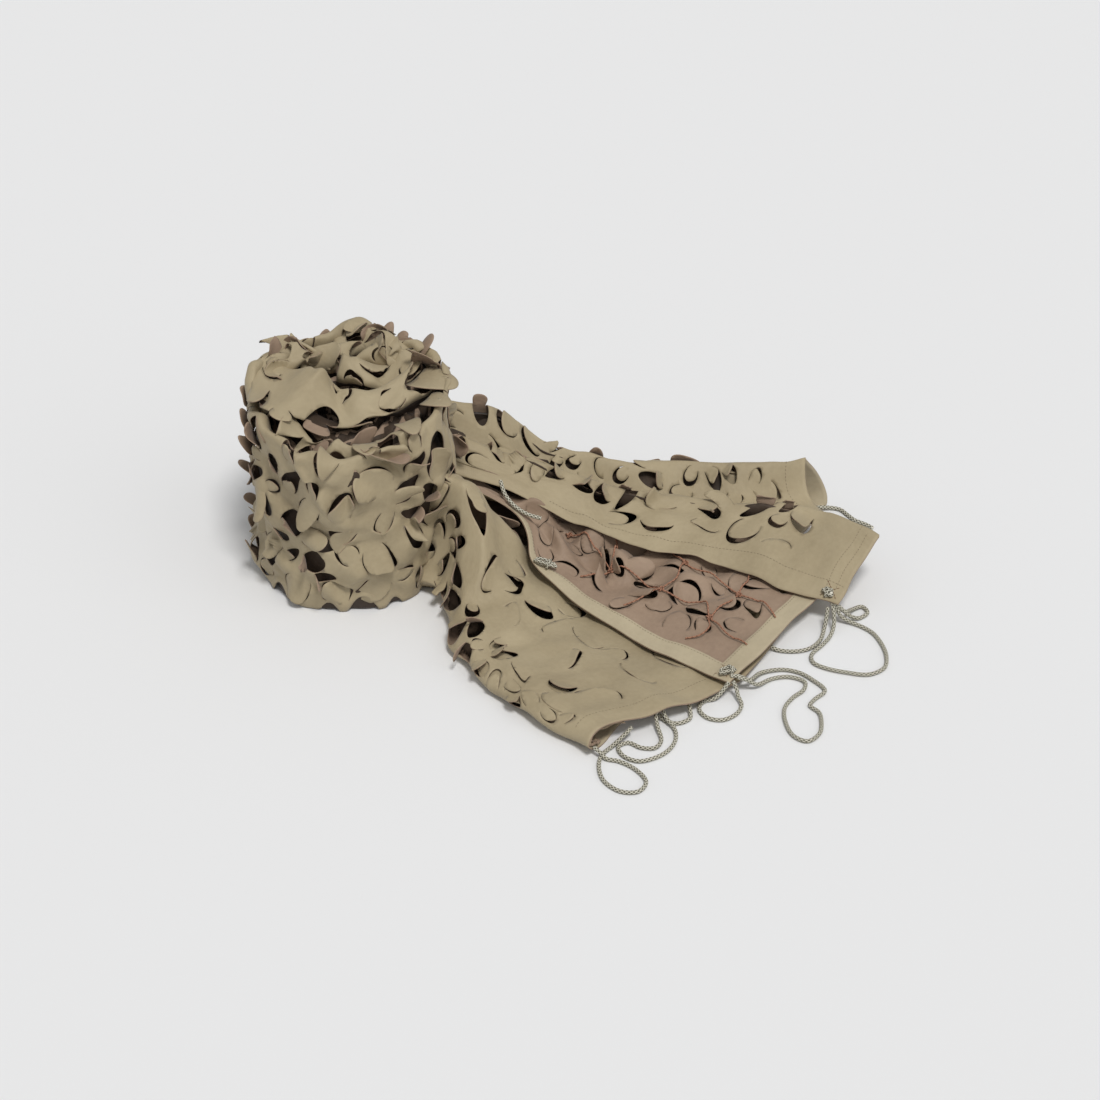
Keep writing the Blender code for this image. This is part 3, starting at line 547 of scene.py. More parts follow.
class FoldedSheet(Surface):
    """The loose end: four layers between the roll and the end hem."""

    def __init__(self):
        self.names = [row[0] for row in FOLD_LINES]
        self.lines = np.array([row[1:] for row in FOLD_LINES], float) * MM
        self.stations = np.array(STATION_AT)
        self.length = STATION_AT[-1]
        self.ripple = Ripple(seed=3, count=14, shortest=0.035, longest=0.13, height=0.0024)
        self.bulges = Ripple(seed=41, count=9, shortest=0.045, longest=0.085, height=0.0085)
        end = self.section(np.array([self.length]))[0]
        self.u_at, self.knots = run_along(end), soft_knots(end)
        self.width = self.u_at[-1]
        self.u_of, at = {}, 0
        for name in self.names:
            at += 1 if name in HAIRPINS else 0
            self.u_of[name] = self.u_at[at]
            at += 2 if name in HAIRPINS else 1

    def section(self, v):
        """The control points across the cloth at each v, with each hairpin's three."""
        rows = [smooth_at(line, self.stations, v) for line in self.lines]
        out = []
        for i, (name, row) in enumerate(zip(self.names, rows)):
            if name not in HAIRPINS:
                out.append(row)
                continue
            half = HAIRPINS[name] / 2
            if name == "crest":
                before, after = (
                    row + half * (near - row) / np.linalg.norm(near - row, axis=1)[:, None]
                    for near in (rows[i - 1], rows[i + 1]))
                out += [before, row, after]
                continue
            inward = (rows[i - 1] + rows[i + 1]) / 2 - row
            inward[:, 2] = 0
            inward = unit(inward)
            rise = np.array([0.0, 0.0, 1.0])
            if name == "front_fold":
                low = row * [1, 1, 0] + [0, 0, CLOTH_THICKNESS]
                high = row + rise * half * 0.8
                out += [high + inward * half * 1.1, row - inward * 0.001, low + inward * half]
            else:
                rise = rise * half
                out += [row + rise + inward * half, row, row - rise + inward * half]
        return np.stack(out, axis=1)

    def point(self, u, v):
        hidden = (self.u_of["hidden_fold"] + self.u_of["under_edge"]) / 2
        v = v * (1 - 0.045 * np.exp(-(((u - hidden) / 0.10) ** 2)))
        knot = np.interp(u, self.u_at, self.knots)
        places = along_knots(self.section(v), self.knots, knot)
        calm = np.interp(u, [0, 0.02, 0.08], [0.3, 0.5, 1.0])
        near = np.interp(v, [0, 0.18, 0.3], [1.7, 1.5, 1.0])
        places += self.ripple.at(u, v) * (calm * near)[:, None]
        bulge = np.clip(np.minimum(u - 0.05, self.u_of["hidden_fold"] - 0.03 - u) / 0.05, 0, 1)
        bulge *= np.clip((self.length - 0.06 - v) / 0.12, 0, 1)
        places[:, 2] += self.bulges.at(u, v)[:, 2] * bulge
        keep_above(places, CLOTH_REST)
        return places


def rim_height(x, y):
    """The roll is lower in front and higher at the back."""
    share = (y + ROLL_RADIUS) / (2 * ROLL_RADIUS)
    return ROLL_FRONT_HEIGHT + (ROLL_BACK_HEIGHT - ROLL_FRONT_HEIGHT) * share


def wall_swell(angle, height):
    """How far the loosely wound roll bulges out round it and up it."""
    swell = np.sin(3 * angle + 0.6) + 0.7 * np.sin(5 * angle + height * 22)
    waist = -0.6 * np.cos(height * 26 + angle)
    return WALL_SWELL * (swell + waist) * 0.5


class RollWall(Surface):
    """The roll's outermost turn: up the wall, over the rim and down inside."""

    def __init__(self):
        self.width = 2 * math.pi * ROLL_RADIUS
        self.length = RIM_START + 0.05
        self.ripple = Ripple(seed=11, count=12, shortest=0.050, longest=0.14, height=0.0062)
        self.fine = Ripple(seed=12, count=16, shortest=0.020, longest=0.05, height=0.0018)
        self.gaps = None

    def open_foot(self):
        """Lifts the foot between the leaf tips that the wall stands on."""
        rng, count, highest = np.random.default_rng(19), 16, 0.021
        at = np.cumsum(rng.uniform(0.016, 0.082, count))
        half = rng.uniform(0.006, 0.021, count)
        rise = np.minimum(half * rng.uniform(0.5, 1.5, count), highest)
        self.gaps = np.stack([at, half, rise])

    def foot_rise(self, u, v):
        """How far the cloth over a gap is lifted, less and less up the wall."""
        if self.gaps is None:
            return 0.0
        at, half, rise = self.gaps
        share = np.clip(1 - ((u[:, None] - at) / half) ** 2, 0, 1)
        return (rise * share).max(axis=1) * np.exp(-v / 0.034)

    def point(self, u, v):
        angle = WALL_START + u / ROLL_RADIUS
        cos, sin = np.cos(angle), np.sin(angle)
        rim = rim_height(cos * ROLL_RADIUS, sin * ROLL_RADIUS) - RIM_BEND
        rim = rim + 0.004 * np.sin(5 * angle + 1.0) + 0.003 * np.sin(9 * angle)
        share, foot = np.clip(v / WALL_HEIGHT, 0, 1), 0.0012
        height = foot + (rim - foot) * share
        bend = np.clip((v - WALL_HEIGHT) / RIM_BEND, 0, math.pi)
        down = np.maximum(v - WALL_HEIGHT - math.pi * RIM_BEND, 0)
        radius = ROLL_RADIUS + wall_swell(angle, height)
        radius -= 0.005 * np.exp(-height / 0.012)
        radius += 0.0075 * self.strap(angle, height)
        radius = radius - RIM_BEND + RIM_BEND * np.cos(bend)
        z = height + RIM_BEND * np.sin(bend) - down
        offset = self.ripple.at(u, v) + self.fine.at(u, v)
        radius = radius + offset[:, 0] * np.interp(height, [0, 0.02], [0.4, 1.0])
        z = z + offset[:, 1] * np.interp(height, [0, 0.03], [0.1, 0.8]) + self.foot_rise(u, v)
        return columns(radius * cos, radius * sin, z)

    @staticmethod
    def strap(angle, height):
        """The taut fold that runs down the front wall from the rim's left."""
        turn = (np.degrees(angle) + 360) % 360
        line = np.interp(height, [0.14, 0.225], [271, 243])
        away = (turn - line) * math.radians(1) * ROLL_RADIUS
        return np.exp(-(away / 0.007) ** 2) * np.clip((height - 0.13) / 0.04, 0, 1)


class RollTurns(Surface):
    """The inner turns' folded edges on the roll's top: one flattened spiral of folds.

    Each fold rises inside, rounds over and slopes out towards the turn outside it.
    """

    # The fold's section: out from the path and up from its top, both in mm.
    SECTION = ((-6, -54), (-9, -32), (-11, -13), (-7, -3), (2, 0), (14, -4), (25, -11),
               (32, -18), (29, -26), (19, -35), (10, -56))

    # The path's half width, half depth and how far back its middle lies, in mm, by share.
    SPIRAL_AT = (0, 0.052, 0.168, 0.284, 0.40, 0.517, 0.633, 0.749, 0.866, 1.0)
    SPIRAL = ((101, 94, 0), (101, 93, 2), (99, 86, 12), (96, 78, 29), (91, 62, 42),
              (87, 46, 51), (83, 34, 59), (76, 23, 66), (66, 16, 67), (54, 9, 66))

    # Waves along the folds' tops: height, length and phase.
    WAVES = ((0.006, 0.137, 1.3), (0.004, 0.071, 0.0))

    def __init__(self):
        self.turns = 2.15
        self.start = math.radians(-50)
        self.spiral = np.array(self.SPIRAL, float) * MM
        self.angles = np.linspace(0, 2 * math.pi * self.turns, 1200)
        self.runs = run_along(self.path(self.angles))
        self.width = self.runs[-1]
        self.section = np.array(self.SECTION, float) * MM
        self.v_at = run_along(self.section)
        self.length = self.v_at[-1]
        self.broad = Ripple(seed=23, count=12, shortest=0.06, longest=0.14, height=0.0080)
        self.fine = Ripple(seed=31, count=14, shortest=0.022, longest=0.05, height=0.0022)

    def headings(self, turn):
        """The heading from the roll's middle, in degrees, and the turns wound so far."""
        return np.degrees(self.start - turn) % 360, turn / (2 * math.pi)

    def flop(self, turn):
        """How far the wide, limp fold at the front of the second turn has opened."""
        heading, wound = self.headings(turn)
        return np.exp(-(((heading - 236) / 50) ** 2) - ((wound - 1.2) / 0.3) ** 2)

    def profile(self, v):
        """The section's place for each distance along it."""
        return smooth_at(self.section, self.v_at, v)

    def path(self, turn):
        """The fold's line: nearly round outside, and flatter with each turn in."""
        share = np.clip(turn / (2 * math.pi * self.turns), 0, 1.01)
        across, deep, back = smooth_at(self.spiral, np.array(self.SPIRAL_AT), share).T
        angle = self.start - turn
        return columns(across * np.cos(angle), back + deep * np.sin(angle))

    def point(self, u, v):
        turn = np.interp(u, self.runs, self.angles)
        here, angle = self.path(turn), self.start - turn
        ahead = unit(self.path(turn + 0.01) - here)
        out_x, out_y = -ahead[:, 1], ahead[:, 0]
        inward = (out_x * np.cos(angle) + out_y * np.sin(angle)) < 0
        out_x = np.where(inward, -out_x, out_x)
        out_y = np.where(inward, -out_y, out_y)
        facing = np.clip(-1.5 * np.sin(angle), -1, 1)
        forward, backward = self.profile(v), self.profile(self.length - v)
        front, back = (1 + facing) / 2, (1 - facing) / 2
        out = front * forward[:, 0] - back * backward[:, 0]
        rise = front * forward[:, 1] + back * backward[:, 1]
        heading, wound = self.headings(turn)
        flop = self.flop(turn)
        reach = 0.55 + 0.25 * np.clip((wound - 0.6) / 0.4, 0, 1) + 1.75 * flop
        reach = np.where(out * facing > 0, reach, 1)
        under = np.exp(-(((heading - 258) / 46) ** 2)) * np.clip((0.45 - wound) / 0.2, 0, 1)
        top = rim_height(here[:, 0], here[:, 1]) + 0.003 - 0.010 * under
        for height, length, phase in self.WAVES:
            top = top + height * np.sin(u * 2 * math.pi / length + phase)
        upper = np.clip((rise + 0.05) / 0.05, 0, 1)
        sway = 0.005 * np.sin(u * 2 * math.pi / 0.117 + 0.4) * upper
        out = out * reach + sway + 0.008 * flop * upper
        sag = 0.001 + 0.011 * np.maximum(-np.cos(angle), 0)
        z = top + rise * (1 - 0.35 * flop) + flop * sag
        offset = (self.broad.at(u, v) + self.fine.at(u, v)) * (0.35 + 0.65 * upper)[:, None]
        x = here[:, 0] + out_x * out + offset[:, 0]
        y = here[:, 1] + out_y * out + offset[:, 1]
        return columns(x, y, z + offset[:, 2])


# ---- the cut leaves


def leaf_outline(length, width, neck, skew, lobes, phases):
    """A leaf's arc from one end of its hinge round to the other, and its hinge."""
    centre = length * neck
    rise = length - centre
    start = -math.asin(centre / rise)
    count = max(9, int((2.2 * length + 0.6 * width) / LEAF_STEP))
    phi = np.linspace(start, math.pi - start, count)
    swell = (1 + lobes[0] * np.cos(2 * phi + phases[0])
             + lobes[1] * np.cos(3 * phi + phases[1]))
    x = width / 2 * np.cos(phi) * swell
    y = centre + rise * np.sin(phi) * swell
    y -= y[0] + (y[-1] - y[0]) * np.linspace(0, 1, count)
    x = x + skew * width * (y / length) ** 2
    arc = columns(x, y)
    parts = max(2, int(np.linalg.norm(arc[0] - arc[-1]) / HINGE_STEP))
    shares = np.linspace(0, 1, parts + 1)[1:-1, None]
    hinge = arc[-1] * (1 - shares) + arc[0] * shares
    return arc, hinge


def loose_leaf(seed, place, heading, lean, length, width, curl, flip=False):
    """A leaf on its own: places, faces and flat places of a bent tongue of cloth."""
    rng = np.random.default_rng(seed)
    arc, hinge = leaf_outline(length, width, 0.36, rng.uniform(-0.3, 0.3), (0.06, 0.09),
                              rng.uniform(0, 6.28, 2))
    outline = np.concatenate([arc, hinge])
    spacing = 0.0055
    grid = [(x, y) for x in np.arange(-width, width, spacing)
            for y in np.arange(-0.004, length * 1.2, spacing)
            if np.linalg.norm(outline - [x, y], axis=1).min() > 0.0028]
    points = [Vector(p) for p in outline.tolist()] + [Vector(p) for p in grid]
    flat, _, faces, *_ = delaunay_2d_cdt(points, [], [list(range(len(outline)))], 1, 1e-7)
    flat, faces = np.array([tuple(p) for p in flat]), np.array(faces)
    used, back = np.unique(faces, return_inverse=True)
    flat, faces = flat[used], back.reshape(-1, 3)
    heading, lean = math.radians(heading), math.radians(lean)
    level = np.array([math.cos(heading), math.sin(heading), 0])
    beside = np.array([math.sin(heading), -math.cos(heading), 0])
    ahead = level * math.cos(lean) + np.array([0, 0, math.sin(lean)])
    normal = np.cross(beside, ahead)
    x, y = flat[:, 0], flat[:, 1]
    bent = (place + beside * x[:, None] + ahead * (np.sin(curl * y) / curl)[:, None]
            + normal * ((1 - np.cos(curl * y)) / curl + 6 * x ** 2)[:, None])
    if flip:
        faces = faces[:, ::-1]
    return bent, faces, flat


def turned(angle):
    """The matrix that turns a flat place by an angle."""
    c, s = math.cos(angle), math.sin(angle)
    return np.array([[c, -s], [s, c]])


class CutCloth:
    """Flat cloth with leaf cuts, triangulated, posed on its surface and thickened."""

    def __init__(self, surface, spacing, seed):
        self.surface, self.spacing = surface, spacing
        self.rng = np.random.default_rng(seed)
        self.leaves = []
        self.centres = np.zeros((0, 2))
        self.outlines = np.zeros((0, 2))

    def try_leaf(self, u, v, metric, turn, length, width, neck=0.40, skew=0.0,
                 lobes=(0.0, 0.0), phases=(0.0, 0.0), lift=0.05, curl=2.0, cup=0.0,
                 gape=0.001, follow=0.0, inside=None):
        """Adds a leaf whose hinge is at (u, v), unless it meets another or an edge."""
        arc, hinge = leaf_outline(length, width, neck, skew, lobes, phases)
        spin = turned(turn)
        to_flat = np.linalg.inv(metric)
        outline = np.concatenate([arc, hinge]) @ spin.T @ to_flat.T + [u, v]
        middle = outline.mean(axis=0)
        if inside is not None and not inside(outline):
            return False
        if len(self.leaves):
            away = np.linalg.norm((self.centres - middle) @ metric.T, axis=1)
            if away.min() < 0.4 * length:
                return False
            low, high = outline.min(axis=0) - 0.02, outline.max(axis=0) + 0.02
            near = np.all((self.outlines > low) & (self.outlines < high), axis=1)
            gaps = (self.outlines[near][:, None] - outline[None]) @ metric.T
            if gaps.size and np.square(gaps).sum(axis=2).min() < LEAVES_APART ** 2:
                return False
        self.leaves.append(dict(
            at=np.array([u, v]), spin=spin, to_flat=to_flat, metric=metric, arc=len(arc),
            outline=outline, middle=middle, length=length, width=width, lift=lift,
            curl=curl, cup=cup, follow=follow, gape=gape,
        ))
        self.centres = np.concatenate([self.centres, middle[None]])
        self.outlines = np.concatenate([self.outlines, outline])
        return True

    def triangulate(self, u_lines, v_lines):
        """Flat triangles, with each leaf's arc parted from the cloth round it."""
        tree = KDTree(sum(len(leaf["outline"]) for leaf in self.leaves) + 1)
        for leaf in self.leaves:
            for place in leaf["outline"]:
                tree.insert((*place, 0), 0)
        tree.insert((-9, -9, 0), 0)
        tree.balance()
        across, along = len(u_lines), len(v_lines)
        points, index = [], {}
        for j, v in enumerate(v_lines):
            for i, u in enumerate(u_lines):
                edge = i in (0, across - 1) or j in (0, along - 1)
                if edge or tree.find((u, v, 0))[2] > self.spacing * 0.42:
                    index[i, j] = len(points)
                    points.append(Vector((u, v)))
        border = [index[i, 0] for i in range(across)]
        border += [index[across - 1, j] for j in range(1, along)]
        border += [index[i, along - 1] for i in range(across - 2, -1, -1)]
        border += [index[0, j] for j in range(along - 2, 0, -1)]
        # For each outline point, how far along its leaf's arc it lies, or None on a hinge.
        loops, arc_share = [border], {}
        for leaf in self.leaves:
            first, last = len(points), leaf["arc"] - 1
            loops.append(list(range(first, first + len(leaf["outline"]))))
            for k, place in enumerate(leaf["outline"]):
                arc_share[len(points)] = k / last if 0 < k < last else None
                points.append(Vector(place))
        flat, _, faces, origins, _, ids = delaunay_2d_cdt(points, [], loops, 0, 1e-7)
        flat = np.array([tuple(p) for p in flat])
        faces = np.array(faces)
        of_face = np.array([max(i) - 1 if len(i) > 1 else -1 for i in ids])
        share = np.full(len(flat), -1.0)
        on_outline = np.zeros(len(flat), bool)
        for k, source in enumerate(origins):
            for point in source:
                if point in arc_share:
                    on_outline[k] = True
                    if arc_share[point] is not None:
                        share[k] = arc_share[point]
        parted = np.nonzero(share >= 0)[0]
        twin = np.full(len(flat), -1)
        twin[parted] = len(flat) + np.arange(len(parted))
        in_leaf = of_face >= 0
        leaf_faces = faces[in_leaf]
        faces[in_leaf] = np.where(twin[leaf_faces] >= 0, twin[leaf_faces], leaf_faces)
        leaf_of = np.full(len(flat) + len(parted), -1)
        for corner in range(3):
            leaf_of[faces[in_leaf][:, corner]] = of_face[in_leaf]
        leaf_of[:len(flat)][on_outline] = -1
        full = np.concatenate([flat, flat[parted]])
        self.open_cuts(full, parted, twin, share, leaf_of)
        return full, faces, leaf_of

    def open_cuts(self, full, parted, twin, share, leaf_of):
        """Moves the two sides of each cut a little apart."""
        for k in parted:
            leaf = self.leaves[leaf_of[twin[k]]]
            away = (full[k] - leaf["middle"]) @ leaf["metric"].T
            away /= max(np.linalg.norm(away), 1e-6)
            gap = math.sin(math.pi * share[k]) ** 0.6 * leaf["to_flat"] @ away
            full[k] += gap * (0.0004 + 0.35 * leaf["gape"])
            full[twin[k]] -= gap * (0.0005 + 0.5 * leaf["gape"])

    def pose(self, full, leaf_of):
        """World places: the cloth on its surface, and each leaf bent off its hinge."""
        surface = self.surface
        places = surface.point(full[:, 0], full[:, 1])
        who = np.nonzero(leaf_of >= 0)[0]
        if not len(who):
            return places
        leaves = [self.leaves[k] for k in leaf_of[who]]

        def each(key):
            return np.array([leaf[key] for leaf in leaves])

        spin, metric, to_flat, at = each("spin"), each("metric"), each("to_flat"), each("at")
        local = np.einsum("nij,nj->ni", metric, full[who] - at)
        local = np.einsum("nji,nj->ni", spin, local)
        x, y = local[:, 0], np.maximum(local[:, 1], 0)

        def flat_of(px, py):
            place = np.einsum("nij,nj->ni", spin, columns(px, py))
            place = np.einsum("nij,nj->ni", to_flat, place) + at
            return (np.clip(place[:, 0], 0, surface.width),
                    np.clip(place[:, 1], 0, surface.length))

        def on_hinge(along, out):
            return surface.point(*flat_of(x + along, 0 * y + out))

        step = 0.003
        root = on_hinge(0, 0)
        ahead = unit(on_hinge(0, step) - on_hinge(0, -step))
        normal = unit(np.cross(on_hinge(step, 0) - on_hinge(-step, 0), ahead))
        lift, curl, cup = each("lift"), each("curl"), each("cup")
        curl = np.where(np.abs(curl) < 1e-3, 1e-3, curl)
        end = lift + curl * y
        far = (np.sin(end) - np.sin(lift)) / curl
        out = (np.cos(lift) - np.cos(end)) / curl
        out = out + cup * x ** 2 * np.clip(y / 0.008, 0, 1)
        bent = root + ahead * far[:, None] + normal * out[:, None]
        follow = each("follow")[:, None]
        places[who] = places[who] * follow + bent * (1 - follow)
        keep_above(places, CLOTH_REST)
        return places

    def build(self, name, u_lines, v_lines, materials, hem_of=None, painted_shade_of=None, islands=()):
        """The finished piece: two faces with the cloth's thickness between them."""
        full, faces, leaf_of = self.triangulate(u_lines, v_lines)
        places = self.pose(full, leaf_of)
        for island_places, island_faces, island_flat in islands:
            faces = np.concatenate([faces, island_faces + len(places)])
            places = np.concatenate([places, island_places])
            middle = [0, self.surface.length / 2 - 0.02]
            full = np.concatenate([full, island_flat + middle])
        return thicken(name, places, faces, full, materials, hem_of, painted_shade_of)


def vertex_normals(places, faces):
    """Each point's normal, weighed by the size of the faces round it."""
    a, b, c = (places[faces[:, k]] for k in range(3))
    across = np.cross(b - a, c - a)
    normals = np.zeros_like(places)
    for k in range(3):
        np.add.at(normals, faces[:, k], across)
    size = np.linalg.norm(normals, axis=1)
    return normals / np.maximum(size, 1e-12)[:, None]


# Places in the list of a cloth's materials: front, back, hem's back, and a near-black painted
# shade for the layers deep in the folds.
FRONT, BACK, HEM, PAINTED_SHADE = range(4)


def thicken(name, places, faces, flat, materials, hem_of=None, painted_shade_of=None):
    """Front, back and rim of a sheet of cloth, with its hems raised at the back."""
    normals = vertex_normals(places, faces)
    count = len(places)
    front = places + normals * CLOTH_THICKNESS / 2
    hem = np.zeros(count) if hem_of is None else hem_of(flat[:, 0], flat[:, 1])
    back = places - normals * (CLOTH_THICKNESS / 2 + HEM_STEP * hem)[:, None]
    keep_above(back, LEAST_HEIGHT)
    keep_above(front, LEAST_HEIGHT)
    edges = np.concatenate([faces[:, [0, 1]], faces[:, [1, 2]], faces[:, [2, 0]]])
    key = np.sort(edges, axis=1)
    _, where, uses = np.unique(key[:, 0] * count + key[:, 1], return_index=True,
                               return_counts=True)
    rim = edges[where[uses == 1]]
    a, b = rim[:, 0], rim[:, 1]
    rim_faces = split_quads(b, a, a + count, b + count)
    back_faces = faces[:, ::-1] + count
    all_faces = np.concatenate([faces, back_faces, rim_faces])
    hem_face = hem[faces].mean(axis=1) > 0.8
    middle = flat[faces].mean(axis=1)
    # deep marks the faces that get the near-black painted shade on both sides, in place of the
    # shade deep in the folds.
    deep = np.zeros(len(faces), bool) if painted_shade_of is None else painted_shade_of(middle)
    indices = np.concatenate([
        np.where(deep, PAINTED_SHADE, FRONT), np.where(deep, PAINTED_SHADE, np.where(hem_face, HEM, BACK)),
        np.full(len(rim_faces), BACK),
    ])
    smooth = np.concatenate([np.ones(2 * len(faces), bool), np.zeros(len(rim_faces), bool)])
    both = np.concatenate([flat, flat])
    return mesh_object(name, np.concatenate([front, back]), all_faces,
                       both[all_faces.ravel()], indices, smooth, materials)


# ---- the pieces


def lines_between(stops, spacings):
    """Grid lines from the first stop to the last, each stretch at its own spacing."""
    out = []
    for a, b, spacing in zip(stops[:-1], stops[1:], spacings):
        parts = max(1, round((b - a) / spacing))
        out += [a + (b - a) * k / parts for k in range(parts)]
    return out + [stops[-1]]


def scatter(cloth, tries, zone, style, paired=0.5):
    """Tries seeded leaf places in a zone, some with a partner that makes an S of cuts."""
    rng = cloth.rng
    (low_u, high_u), (low_v, high_v) = zone
    u = rng.uniform(low_u, high_u, tries)
    v = rng.uniform(low_v, high_v, tries)
    metrics = cloth.surface.metrics(u, v)
    du, dv = cloth.surface.frames(u, v)
    across = unit(du)
    along = unit(dv - across * (dv * across).sum(axis=1)[:, None])
    facing = np.arctan2(-(across @ OPEN_TO), along @ OPEN_TO)

    def inside(outline):
        low, high = outline.min(axis=0), outline.max(axis=0)
        return low[0] > low_u and high[0] < high_u and low[1] > low_v and high[1] < high_v

    for k in range(tries):
        first = style(rng, u[k], v[k])
        if first is None:
            continue
        turn = first.pop("turn", rng.uniform(0, 2 * math.pi))
        spread = first.pop("face", None)
        if spread is not None:
            turn = facing[k] + rng.normal(0, spread)
        if not cloth.try_leaf(u[k], v[k], metrics[k], turn, inside=inside, **first):
            continue
        if rng.random() < paired:
            second = style(rng, u[k], v[k])
            if second is None:
                continue
            second.pop("turn", None)
            second.pop("face", None)
            side = rng.choice([-1, 1])
            over = side * (0.5 * (first["width"] + second["width"]) + 0.0032)
            local = np.array([over, first["length"] * rng.uniform(0.45, 0.7)])
            place = np.linalg.inv(metrics[k]) @ turned(turn) @ local
            cloth.try_leaf(u[k] + place[0], v[k] + place[1], metrics[k],
                           turn + math.pi + rng.uniform(-0.3, 0.3), inside=inside, **second)


def leaf_shape(rng, low, high, wide=(0.66, 1.0)):
    """A leaf's size and outline; one in four has a broad, plain tongue."""
    length = rng.uniform(low, high)
    return dict(
        length=length, width=length * rng.uniform(*wide),
        neck=rng.uniform(0.2, 0.3) if rng.random() < 0.25 else rng.uniform(0.34, 0.44),
        skew=rng.uniform(-0.35, 0.35), lobes=(rng.uniform(0, 0.10), rng.uniform(0, 0.13)),
        phases=(rng.uniform(0, 6.28), rng.uniform(0, 6.28)),
    )


def bent(rng, shape, bend, cup, gape, side=1, **more):
    """The leaf's bend: ranges of lift and curl, of its cup and of its cut's gape."""
    return dict(shape, lift=side * rng.uniform(*bend[:2]), curl=side * rng.uniform(*bend[2:]),
                cup=side * rng.uniform(*cup), gape=rng.uniform(*gape), **more)


def sheet_style(open_share, crescents, side=1, follow=0.0, size=(0.028, 0.043),
                wild=0.3, bold=(0.15, 0.5)):
    """Leaf shapes and bends for a stretch of the loose end."""
    def style(rng, u, v):
        near_roll = max(0.0, 1 - v / 0.24) * wild / 0.3
        if rng.random() < crescents * (1 - near_roll):
            shape = leaf_shape(rng, 0.011, 0.020)
            shape.update(width=rng.uniform(0.030, 0.058), neck=rng.uniform(0.04, 0.12))
            bend = (0.10, 0.34, 0, 16) if rng.random() < 0.55 else (0.0, 0.08, 0, 4)
        else:
            shape = leaf_shape(rng, *size)
            opened = rng.random() < open_share + wild * near_roll
            bend = (*bold, -5, 16) if opened else (0.0, 0.07, -1, 4)
            if opened and side > 0 and shape["length"] < 0.029 and rng.random() < 0.25:
                bend = (0.5, 0.9, 14, 40)
        lifted = bend[1] > 0.1
        if lifted and side > 0:
            shape["face"] = 0.7 if shape["length"] > 0.018 else 1.3
        tucked = side < 0 and v < TUCKED
        if v > FRAY_END or tucked:
            bend, lifted = (0.0, 0.05, 0, 2), False
        gape = (0.0008, 0.0034) if lifted else (0.0002, 0.0014)
        return bent(rng, shape, bend, (-4, 7), gape, side, follow=0.9 if tucked else follow)
    return style


def make_spread(materials):
    """The loose end, its leaves scattered zone by zone: across it and along it."""
    sheet = FoldedSheet()
    cloth = CutCloth(sheet, SHEET_SPACING, 5)
    at, end = sheet.u_of, sheet.length
    low, edge, hem = 0.020, SIDE_MARGIN, end - SIDE_MARGIN
    scatter(cloth, 420, ((edge, at["hidden_fold"] - 0.012), (0.05, hem)),
            sheet_style(0.45, 0.25, side=-1, size=(0.024, 0.038)))
    fold, ridge = at["front_fold"], at["back_ridge"]
    scatter(cloth, 420, ((fold - 0.085, fold + 0.004), (low, 0.31)),
            sheet_style(0.85, 0.0, follow=0.15, size=(0.020, 0.036), bold=(0.12, 0.6)))
    scatter(cloth, 110, ((fold - 0.055, fold + 0.012), (0.27, hem)),
            sheet_style(0.5, 0.3, follow=0.4, size=(0.020, 0.032), bold=(0.08, 0.3)))
    scatter(cloth, 44, ((at["under_edge"] + 0.012, fold - 0.030), (low, 0.20)),
            sheet_style(0.0, 0.45, size=(0.020, 0.032), wild=0.0))
    scatter(cloth, 62, ((at["under_edge"] + 0.012, fold - 0.020), (0.19, hem)),
            sheet_style(0.3, 0.9, wild=0.0), paired=0.7)
    cloth.rng = np.random.default_rng(21)  # the back and the crest have their own seed
    scatter(cloth, 170, ((at["back_foot"] + 0.012, ridge), (low, hem)),
            sheet_style(0.12, 0.2))
    scatter(cloth, 160, ((ridge - 0.01, sheet.width - edge), (0.008, 0.13)),
            sheet_style(0.3, 0.2, follow=0.2, size=(0.020, 0.034), wild=0.2,
                        bold=(0.1, 0.4)))
    scatter(cloth, 300, ((ridge - 0.006, ridge + 0.04), (low, hem)),
            sheet_style(0.75, 0.1, follow=0.2, size=(0.018, 0.031), wild=0.1,
                        bold=(0.2, 0.65)))
    scatter(cloth, 200, ((ridge, at["valley"] + 0.02), (low, hem)),
            sheet_style(0.5, 0.15))
    scatter(cloth, 420, ((at["crest"] - 0.045, at["crest"] + 0.05), (low, hem - 0.05)),
            sheet_style(0.9, 0.15, follow=0.3, size=(0.020, 0.036), wild=0.1,
                        bold=(0.25, 0.65)))
    scatter(cloth, 130, ((at["crest"] + 0.01, sheet.width - edge), (low, hem - 0.045)),
            sheet_style(0.2, 0.7))
    # A hem's second layer ends in a narrow step, from hem_in to hem_out off the edge.
    hem_in, hem_out = HEM_WIDTH - 0.001, HEM_WIDTH + 0.0005
    s, h, step = SHEET_SPACING, HIDDEN_SPACING, HEM_SPACING
    u_lines = lines_between(
        (0, hem_in, hem_out, at["hidden_fold"] - 0.01, at["hidden_fold"] + 0.02,
         at["under_edge"] - 0.02, at["front_fold"] + 0.03, at["back_foot"] - 0.02,
         sheet.width - HEM_WIDTH, sheet.width),
        (s, step, s, FOLD_SPACING, h, s, h, s, s),
    )
    v_lines = lines_between((0, 0.012, end - hem_out, end - hem_in, end), (h, s, step, s))

    def hem_of(u, v):
        across = np.interp(u, [0, hem_in, hem_out], [1, 1, 0])
        along = np.interp(v, [end - hem_out, end - hem_in], [0, 1])
        return np.maximum(across, along)

    def painted_shade_of(flat):
        """The layers that lie inside the folds, in the shade: they get the near-black painted
        shade.
        """
        u = flat[:, 0]
        under = (u > at["hidden_fold"] + 0.006) & (u < at["under_edge"] - 0.004)
        under |= (u > at["front_fold"] + 0.035) & (u < at["back_foot"] - 0.004)
        return under & (flat[:, 1] < end - 0.07)

    return sheet, cloth.build("net_spread", u_lines, v_lines, materials, hem_of, painted_shade_of)


